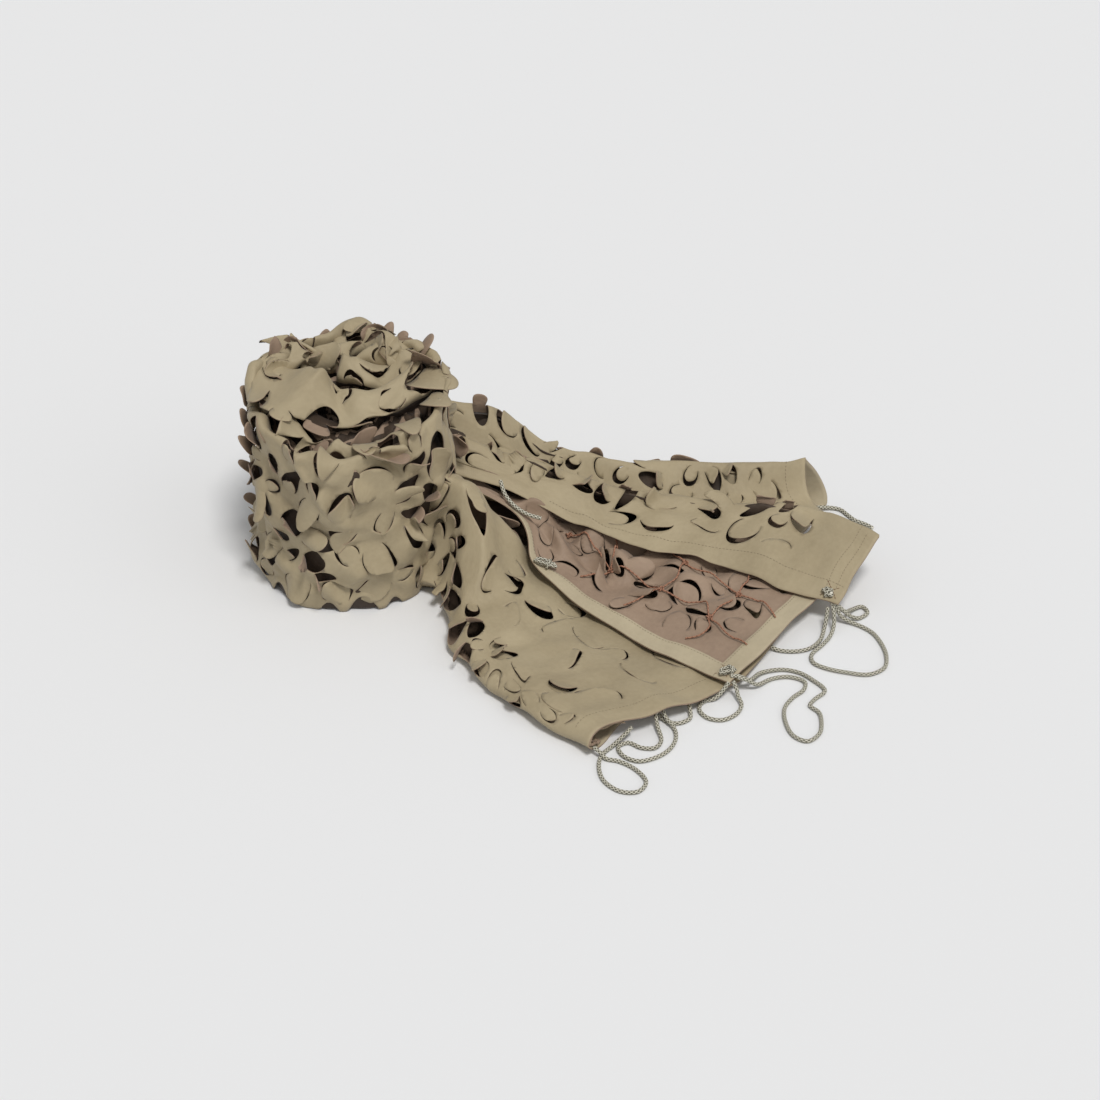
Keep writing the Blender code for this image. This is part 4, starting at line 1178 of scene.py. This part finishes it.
def make_inner_folds(sheet, materials):
    """The cloth folded up inside the front fold and under the ridge and the crest."""
    fold, end = sheet.u_of["front_fold"], sheet.length
    foot, crest = sheet.u_of["back_foot"], sheet.u_of["crest"]

    # The layer under the ridge and the crest gets the near-black painted shade, but for its
    # last stretch by the end hem.
    def shaded(flat):
        return (flat[:, 0] > foot) & (flat[:, 1] < end - 0.11)

    # Depth under the cloth, from and to across it, from and to along it, and spacing.
    layers = (
        (0.0050, fold - 0.070, fold + 0.060, 0.26, 0.503, FOLD_SPACING),
        (0.0090, fold - 0.046, fold + 0.045, 0.26, 0.500, FOLD_SPACING),
        (0.0125, foot + 0.012, crest - 0.012, 0.012, end - 0.040, 0.0060),
    )
    pieces = []
    for k, (offset, first, last, start, stop, step) in enumerate(layers):
        us = np.arange(first, last, step)
        vs = np.linspace(start, stop, 60)
        u, v = (grid.ravel() for grid in np.meshgrid(us, vs))
        normal = unit(np.cross(*sheet.frames(u, v)))
        wave = 0.0012 * np.sin(u * 190 + 3 * k) + 0.0014 * np.sin(v * 120 + k)
        inset = (offset + wave) * (1 - 0.8 * np.exp(-(((u - crest) / 0.016) ** 2)))
        places = sheet.point(u, v) - normal * inset[:, None]
        keep_above(places, 0.0022 + 0.0022 * k)
        row = len(us)
        a = (np.arange(len(vs) - 1)[:, None] * row + np.arange(row - 1)).ravel()
        faces = split_quads(a, a + 1, a + row + 1, a + row)
        pieces.append(thicken(f"net_inner_fold_{k}", places, faces, columns(u, v), materials,
                              painted_shade_of=shaded))
    return join_pieces("net_inner_folds", pieces)


def wall_style(rng, u, v):
    """Most leaves lie on the wall; some are open, more of them to the left."""
    turn = (u / ROLL_RADIUS + WALL_START) % (2 * math.pi)
    leftward = math.radians(165) < turn < math.radians(258)
    shape = leaf_shape(rng, *((0.021, 0.036) if leftward else (0.026, 0.046)))
    chance = rng.random()
    bend, gape = (0.0, 0.07, -1, 4), (0.0006, 0.0036)
    if chance < (0.85 if leftward else 0.46):
        bend = (0.2, 0.65, -2, 22) if leftward else (0.15, 0.5, -4, 20)
        shape["face"] = 0.6 if leftward else 1.2
    if chance < (0.42 if leftward else 0.12) and shape["length"] < 0.038:
        bend = (0.5, 1.0, 18, 46)
    if leftward:
        gape = (0.0020, 0.0060)
    shape = bent(rng, shape, bend, (-6, 9), gape, follow=0.1)
    if math.radians(150) < turn < math.radians(204):
        shape.update(lift=shape["lift"] * 0.5, curl=shape["curl"] * 0.5)
    return shape


def foot_style(rng, u, v):
    """The leaves that hang to the floor along the wall's foot."""
    shape = leaf_shape(rng, 0.026, 0.042, (0.75, 1.05))
    turn = (math.pi if rng.random() < 0.6 else 0) + rng.uniform(-0.7, 0.7)
    return bent(rng, shape, (0.04, 0.32, -4, 8), (-8, 8), (0.002, 0.0048), turn=turn)


def make_wall(materials):
    """The roll's outermost turn, its placed flaps first and then the scattered leaves."""
    wall = RollWall()
    cloth = CutCloth(wall, WALL_SPACING, 17)

    def inside(outline):
        low, high = outline.min(axis=0), outline.max(axis=0)
        return (low[0] > WALL_MARGIN and high[0] < wall.width - WALL_MARGIN
                and low[1] > 0.004 and high[1] < wall.length - WALL_MARGIN)

    for angle, height, length, width, lean, turn in WALL_FLAPS:
        u = (math.radians(angle) - WALL_START) % (2 * math.pi) * ROLL_RADIUS
        v = min(height * MM, WALL_HEIGHT) * WALL_HEIGHT / FLAP_WALL
        metric = wall.metrics(np.array([u]), np.array([v]))[0]
        cloth.try_leaf(u, v, metric, math.radians(-turn), length * MM, width * MM,
                       lobes=(0.05, 0.08), lift=math.radians(lean * 0.3),
                       curl=math.radians(lean) / (length * MM) * 0.45, cup=-5, gape=0.0038,
                       inside=inside)
    across = (WALL_MARGIN, wall.width - WALL_MARGIN)
    scatter(cloth, 800, (across, (0.003, 0.056)), foot_style, paired=0.0)
    scatter(cloth, 2200, (across, (0.012, WALL_HEIGHT - 0.012)), wall_style, paired=0.65)
    scatter(cloth, 120, (across, (WALL_HEIGHT - 0.03, wall.length - 0.012)), rim_style)
    wall.open_foot()  # after the leaves, whose layout is measured on the level foot
    s = WALL_SPACING
    u_lines = lines_between((0, wall.width), (s,))
    v_lines = lines_between((0, WALL_HEIGHT, RIM_START, wall.length), (s, BEND_SPACING, s))
    # The cloth that hangs down inside the rim gets the near-black painted shade.
    inside_rim = RIM_START + 0.012
    return wall, cloth.build("net_wall", u_lines, v_lines, materials,
                             painted_shade_of=lambda flat: flat[:, 1] > inside_rim)


def turn_style(rng, u, v):
    """Leaves on the folded edges: some lie on the fold and some curl off it."""
    shape = leaf_shape(rng, 0.027, 0.046, (0.7, 1.1))
    chance = rng.random()
    bend, follow = (0.0, 0.12, -2, 6), 0.6
    if chance < 0.72:
        bend, follow = (0.12, 0.5, -8, 14), 0.25
        shape["face"] = 0.9
    if chance < 0.16 and shape["length"] < 0.036:
        bend, follow = (0.5, 0.9, 14, 40), 0.0
    return bent(rng, shape, bend, (-6, 9), (0.0015, 0.0048), follow=follow)


def rim_style(rng, u, v):
    """Leaves on the wall's rim, which lie nearly flat so that none juts out."""
    shape = turn_style(rng, u, v)
    follow = 0.85 if u < 0.13 else shape["follow"]
    shape.update(lift=0.25 * shape["lift"], curl=0.3 * shape["curl"], follow=follow)
    return shape


def make_turns(materials):
    """The folded edges of the inner turns, with the flaps that stand on the top."""
    turns = RollTurns()
    cloth = CutCloth(turns, TURN_SPACING, 29)

    def style(rng, u, v):
        """Leaves of the folds, but few and small slits on the wide one."""
        shape = turn_style(rng, u, v)
        turn = np.interp(u, turns.runs, turns.angles)
        if turns.flop(turn) > 0.3:
            near_edge = turns.profile(np.array([v]))[0, 0] > 0.022
            if near_edge:
                shape.update(lift=0.5 * shape["lift"] + 0.05, follow=0.3)
            elif rng.random() < 0.93:
                return None
            else:
                shape.update(length=0.012, width=0.026, neck=0.1, lift=0.12, curl=2, cup=0,
                             follow=0.5)
        elif turn < 1.7:
            shape.update(lift=shape["lift"] * 1.2 + 0.1, follow=0.0)
        elif turns.path(np.array([turn]))[0, 1] > 0.07:
            shape.update(lift=0.8 * shape["lift"], curl=0.6 * shape["curl"],
                         gape=2.2 * shape["gape"])
        else:
            shape.update(gape=1.6 * shape["gape"])
        return shape

    scatter(cloth, 1100, ((0.01, turns.width - 0.01), (0.026, turns.length - 0.02)), style)
    u_lines = lines_between((0, turns.width), (TURN_SPACING,))
    v_lines = lines_between((0, turns.length), (TURN_SPACING,))
    islands = []
    for i, (x, y, length, width, lean, heading) in enumerate(TOP_FLAPS):
        x, y = x * MM, y * MM
        place = np.array([x, y, rim_height(x, y) - 0.007])
        islands.append(loose_leaf(100 + i, place, heading, lean, length * MM, width * MM,
                                  -14 if lean > 50 else -9, flip=lean > 50))
    # The low part of each fold's section, down between the turns, gets the near-black painted
    # shade.
    return turns, cloth.build("net_turns", u_lines, v_lines, materials, islands=islands,
                              painted_shade_of=lambda flat: turns.profile(flat[:, 1])[:, 1] < -0.027)


def make_core(materials):
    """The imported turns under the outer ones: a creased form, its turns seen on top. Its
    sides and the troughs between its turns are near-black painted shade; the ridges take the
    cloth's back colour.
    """
    sides, verts, flat = 96, [], []
    rings = [(share, 0.002) for share in (0.02, 0.5, 0.9)]
    rings += [(1.0, z) for z in (0.003, 0.03, 0.06, 0.09, 0.12, 0.15, 0.18)]
    rings += [(share, None) for share in np.linspace(0.98, 0.02, 34)]
    for share, z in rings:
        for k in range(sides):
            angle = 2 * math.pi * k / sides
            height = 0.19 if z is None else z
            radius = ROLL_RADIUS - 0.0085 + wall_swell(angle, height)
            radius += 0.0016 * math.sin(13 * angle + height * 60)
            x, y = radius * share * math.cos(angle), radius * share * math.sin(angle)
            if z is None:
                turn = 2 * math.pi * share * ROLL_RADIUS / 0.019 + angle
                height = rim_height(x, y) - 0.040 + 0.010 * abs(math.cos(turn / 2))
                height += 0.0025 * math.sin(9 * angle + 30 * share)
                height -= 0.02 * max(0.0, share - 0.9) / 0.08
            verts.append((x, y, height))
            flat.append((angle * ROLL_RADIUS, height + (1 - share) * 0.1))
    faces = []
    for ring in range(len(rings) - 1):
        for k in range(sides):
            a, b = ring * sides + k, ring * sides + (k + 1) % sides
            faces += [(a, b, b + sides), (a, b + sides, a + sides)]
    faces = np.array(faces)
    flat = np.array(flat)
    # Faces on the ridges near the top take the back colour; all the rest get the near-black
    # painted shade.
    top_of = [rim_height(x, y) - z < 0.0335 for x, y, z in verts]
    on_top = np.array([all(top_of[k] for k in face) for face in faces]).astype(int)
    return mesh_object("net_core", np.array(verts), faces, flat[faces.ravel()], on_top,
                       np.ones(len(faces), bool), materials)


# ---- the cords


def interp_rows(at, run, line):
    """A line's places at distances along it."""
    return columns(*(np.interp(at, run, line[:, k]) for k in range(3)))


def smooth_route(points, spacing):
    """Evenly spaced points on the smooth curve through a route's points, given in mm."""
    places = np.array(points, float) * MM
    knots = soft_knots(places)
    line = smooth_at(places, knots, np.linspace(0, knots[-1], 1200))
    run = run_along(line)
    even = np.linspace(0, run[-1], max(3, round(run[-1] / spacing) + 1))
    return interp_rows(even, run, line)


def strand_tube(name, line, radius_at, sides, materials):
    """A closed tube along a line, its radius a function of angle and run."""
    line = np.asarray(line, float)
    ahead = unit(np.gradient(line, axis=0))
    side = np.cross(ahead[0], [0.0, 0.0, 1.0])
    side /= np.linalg.norm(side)
    run = run_along(line)
    angles = 2 * math.pi * np.arange(sides) / sides
    rings = []
    for k in range(len(line)):
        side = side - ahead[k] * (side @ ahead[k])
        side /= np.linalg.norm(side)
        up = np.cross(side, ahead[k])
        radius = radius_at(angles, run[k])[:, None]
        rings.append(line[k] + radius * (np.cos(angles)[:, None] * side
                                         + np.sin(angles)[:, None] * up))
    verts = np.concatenate(rings + [line[:1], line[-1:]])
    count = len(line)
    ring, k = np.divmod(np.arange((count - 1) * sides), sides)
    a, b = ring * sides + k, ring * sides + (k + 1) % sides
    faces = split_quads(a, a + sides, b + sides, b)
    corners = ((k, ring), (k, ring + 1), (k + 1, ring + 1), (k + 1, ring))
    uvs = split_quads(*(columns(j / sides, run[r]) for j, r in corners)).reshape(-1, 2)
    caps, first, last = [], len(verts) - 2, len(verts) - 1
    for j in range(sides):
        n = (j + 1) % sides
        caps += [(j, n, first), ((count - 1) * sides + n, (count - 1) * sides + j, last)]
    faces = np.concatenate([faces, np.array(caps)])
    uvs = np.concatenate([uvs, np.zeros((len(caps) * 3, 2))])
    return mesh_object(name, verts, faces, uvs, np.zeros(len(faces), int),
                       np.ones(len(faces), bool), materials)


def braid(diameter, pick=CORD_PICK, strands=4):
    """A braid's radius round it and along it: strands that cross both ways."""
    def radius_at(angles, run):
        turn = 2 * math.pi * run / pick
        high = np.maximum(np.cos(strands * angles + turn), np.cos(strands * angles - turn))
        return diameter / 2 * (0.92 + 0.09 * high)
    return radius_at


def twist(diameter):
    """A two-ply string's radius round it and along it."""
    def radius_at(angles, run):
        ply = np.abs(np.cos(angles - math.pi * run / STRING_PITCH))
        return diameter / 2 * (0.94 + 0.07 * ply)
    return radius_at


def make_cords(material):
    """The ten free cords, each a braided tube along its path."""
    for name, points in CORDS.items():
        line = smooth_route([(*point, FLOOR_Z)[:3] for point in points], 0.0011)
        keep_above(line, CORD_DIAMETER / 2 + FLOOR_GAP)
        piece = strand_tube(name + "_braid", line, braid(CORD_DIAMETER), 16, [material])
        dress(piece, name)


def surface_tree(surface, last_u):
    """A tree of the uncut cloth up to a width, to lay the strings on."""
    across, along = 60, 80
    us = np.linspace(0, last_u, across + 1)
    grid_u, grid_v = np.meshgrid(us, np.linspace(0, surface.length, along + 1))
    points = surface.point(grid_u.ravel(), grid_v.ravel())
    faces = []
    for row in range(along):
        for column in range(across):
            a = row * (across + 1) + column
            faces.append((a, a + 1, a + across + 2, a + across + 1))
    return BVHTree.FromPolygons([Vector(p) for p in points], faces)


def height_on(tree, x, y, otherwise):
    """How high the cloth lies under a place, or the given height where it has a cut."""
    hit = tree.ray_cast(Vector((x, y, 0.4)), Vector((0, 0, -1)))[0]
    return otherwise if hit is None else hit.z


def join_pieces(name, pieces):
    with bpy.context.temp_override(active_object=pieces[0], object=pieces[0],
                                   selected_editable_objects=pieces, selected_objects=pieces):
        bpy.ops.object.join()
    pieces[0].name = name
    return pieces[0]


def make_strings(sheet, material):
    """The carrier strings over the cloth's back, with a small knot where they meet."""
    tree = surface_tree(sheet, sheet.u_of["hidden_fold"])
    pieces, height = [], 0.03
    for i, route in enumerate(STRINGS):
        stops = [STRING_KNOTS[s] if isinstance(s, str) else s for s in route]
        line = smooth_route([(x, y, 0) for x, y in stops], 0.0012)
        for place in line:
            height = height_on(tree, place[0], place[1], height)
            place[2] = height
        run = np.linspace(0, 1, len(line))
        reach = 12
        padded, window = np.pad(line[:, 2], reach, mode="edge"), 2 * reach + 1
        smooth = np.convolve(padded, np.ones(window) / window, "valid")
        line[:, 2] = np.maximum(line[:, 2], smooth) + 0.0030
        line[:, 2] += 0.0050 * np.sin(math.pi * run) * np.abs(np.sin(4 * run + i))
        line[:, 0] += 0.0016 * np.sin(9 * run + i) * np.sin(math.pi * run)
        line[:, 1] += 0.0016 * np.sin(8 * run + 2 * i) * np.sin(math.pi * run)
        look = twist(STRING_DIAMETER)
        pieces.append(strand_tube(f"string_{i}", line, look, 8, [material]))
    turn = np.linspace(0, 2 * math.pi, 70)
    for i, (x, y) in enumerate(STRING_KNOTS.values()):
        z = height_on(tree, x * MM, y * MM, 0.03) + 0.0040
        knot = columns(np.sin(turn) + 2 * np.sin(2 * turn),
                       np.cos(turn) - 2 * np.cos(2 * turn), -1.1 * np.sin(3 * turn)) * 0.00135
        knot[:, :2] = knot[:, :2] @ turned(i).T
        knot, look = knot + [x * MM, y * MM, z], twist(STRING_DIAMETER * 0.9)
        pieces.append(strand_tube(f"tie_{i}", knot, look, 8, [material]))
    dress(join_pieces("strings", pieces), "carrier_net")


# Each wrap's turns of cord, its heading in degrees and its bundle's length in metres.
WRAPS = (
    ("wrap_lower_corner", 1.8, 28, 0.026), ("wrap_upper_corner", 1.6, -50, 0.018),
    ("wrap_front_edge", 1.8, -14, 0.034),
)


def make_wraps(material):
    """A loose bundle of long turns of cord on the hem, where each wrap's solid is."""
    for name, turns, heading, length in WRAPS:
        low, high = (np.array(corner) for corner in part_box(name))
        middle, size = (low + high) / 2, high - low
        heading = math.radians(heading)
        rise = 0.55 * (size[2] - 0.007) * (-1 if name == "wrap_front_edge" else 1)
        along = np.array([math.cos(heading) * length, math.sin(heading) * length, rise]) * 0.43
        side, up = np.array([-math.sin(heading), math.cos(heading), 0]), np.array([0, 0, 1])
        share = np.linspace(0, 1, 130)
        angle = 2 * math.pi * turns * share + 0.6
        line = (middle + along * (np.cos(angle) * (1 - 0.18 * share))[:, None]
                + side * (0.0030 * np.sin(angle) + 0.0034 * (share - 0.5))[:, None]
                + up * (0.0022 * np.cos(1.5 * angle) + 0.0006)[:, None])
        angle = np.linspace(0, 2 * math.pi, 60)
        band = (middle + along * 0.25 + along * 0.12 * np.sin(angle)[:, None]
                + side * (0.0058 * np.cos(angle))[:, None]
                + up * (0.0048 * np.sin(angle))[:, None])
        bands = [strand_tube(name + part, run, braid(thick, WRAP_PICK), 12, [material])
                 for part, run, thick in (("_turns", line, 0.0040), ("_band", band, 0.0036))]
        dress(join_pieces(name + "_turns", bands), name)


# ---- stitches


def stitch_lines(name, sheet, rows, material, size=1.0):
    """Short raised stitches in lines on the cloth: flat start, flat end and side."""
    verts, faces = [], []
    shape = ((-1, 0, 0), (0, -1, 0.2), (1, 0, 0), (0, 1, 0.2), (0, 0, 1), (0, 0, -1))
    sides = [(k, (k + 1) % 4, 4) for k in range(4)] + [((k + 1) % 4, k, 5) for k in range(4)]
    half_length, half_width, height = STITCH_HALF
    for start, stop, face in rows:
        start, stop = np.array(start), np.array(stop)
        fine = start + (stop - start) * np.linspace(0, 1, 200)[:, None]
        world = sheet.point(fine[:, 0], fine[:, 1])
        run = run_along(world)
        places = np.arange(0.003, run[-1] - 0.003, STITCH_PITCH)
        u = np.interp(places, run, fine[:, 0])
        v = np.interp(places, run, fine[:, 1])
        normal = face * unit(np.cross(*sheet.frames(u, v)))
        centre = sheet.point(u, v)
        ahead = unit(interp_rows(places + 0.001, run, world) - centre)
        side = np.cross(normal, ahead)
        lift = CLOTH_THICKNESS / 2 + (HEM_STEP if face < 0 else 0) + 0.00012
        for k in range(len(places)):
            base = len(verts)
            for x, y, z in shape:
                verts.append(centre[k] + normal[k] * (lift + z * height * size)
                             + ahead[k] * x * half_length * size
                             + side[k] * y * half_width * size)
            faces += [(base + a, base + b, base + c) for a, b, c in sides]
    count = len(faces)
    piece = mesh_object(name, np.array(verts), np.array(faces), np.zeros((count * 3, 2)),
                        np.zeros(count, int), np.ones(count, bool), [material])
    dress(piece)


def make_stitches(sheet, material, rust):
    """The hems' seams, and the crosses at the end hem's two corners."""
    at, end, wide = sheet.u_of, sheet.length, sheet.width
    edge = HEM_WIDTH - 0.004
    rows = [
        ((edge, 0.10), (edge, end), -1),
        ((wide - edge, 0.09), (wide - edge, end), 1),
        ((0.0, end - edge), (at["hidden_fold"] - 0.01, end - edge), -1),
        ((at["under_edge"] + 0.02, end - edge), (at["front_fold"] - 0.012, end - edge), 1),
        ((at["back_ridge"] - 0.05, end - edge), (wide, end - edge), 1),
        ((at["crest"] + 0.01, end - edge + 0.012), (wide, end - edge + 0.012), 1),
    ]
    crosses = []
    for u, face in ((wide - 0.015, 1), (0.016, -1)):
        crosses += [
            ((u - 0.011, end - 0.028), (u + 0.011, end - 0.006), face),
            ((u + 0.011, end - 0.028), (u - 0.011, end - 0.006), face),
        ]
    stitch_lines("stitches", sheet, rows, material)
    stitch_lines("cross_stitches", sheet, crosses, rust, 1.5)


# ---- main


def main():
    make_camera()
    cord_look = strand_material("cord_braid", CORD_COLOURS, 4, CORD_PICK)
    make_cords(cord_look)
    make_wraps(cord_look)
    looks = [fabric(name, *colours) for name, colours in FABRICS.items()]
    sheet, spread = make_spread(looks)
    wall, outer = make_wall(looks)
    turns, top = make_turns(looks)
    core = make_core([looks[PAINTED_SHADE], looks[BACK]])
    for piece in (spread, outer, top, core, make_inner_folds(sheet, looks)):
        dress(piece, "net")
    for piece, surface in ((spread, sheet), (outer, wall), (top, turns)):
        surface.flat_size()
    make_strings(sheet, strand_material("carrier_thread", STRING_COLOURS, 1, STRING_PITCH))
    make_stitches(sheet, sewing_thread("sewing_thread", *SEWING_COLOURS),
                  sewing_thread("rust_thread", *RUST_COLOURS))
    make_studio()


main()
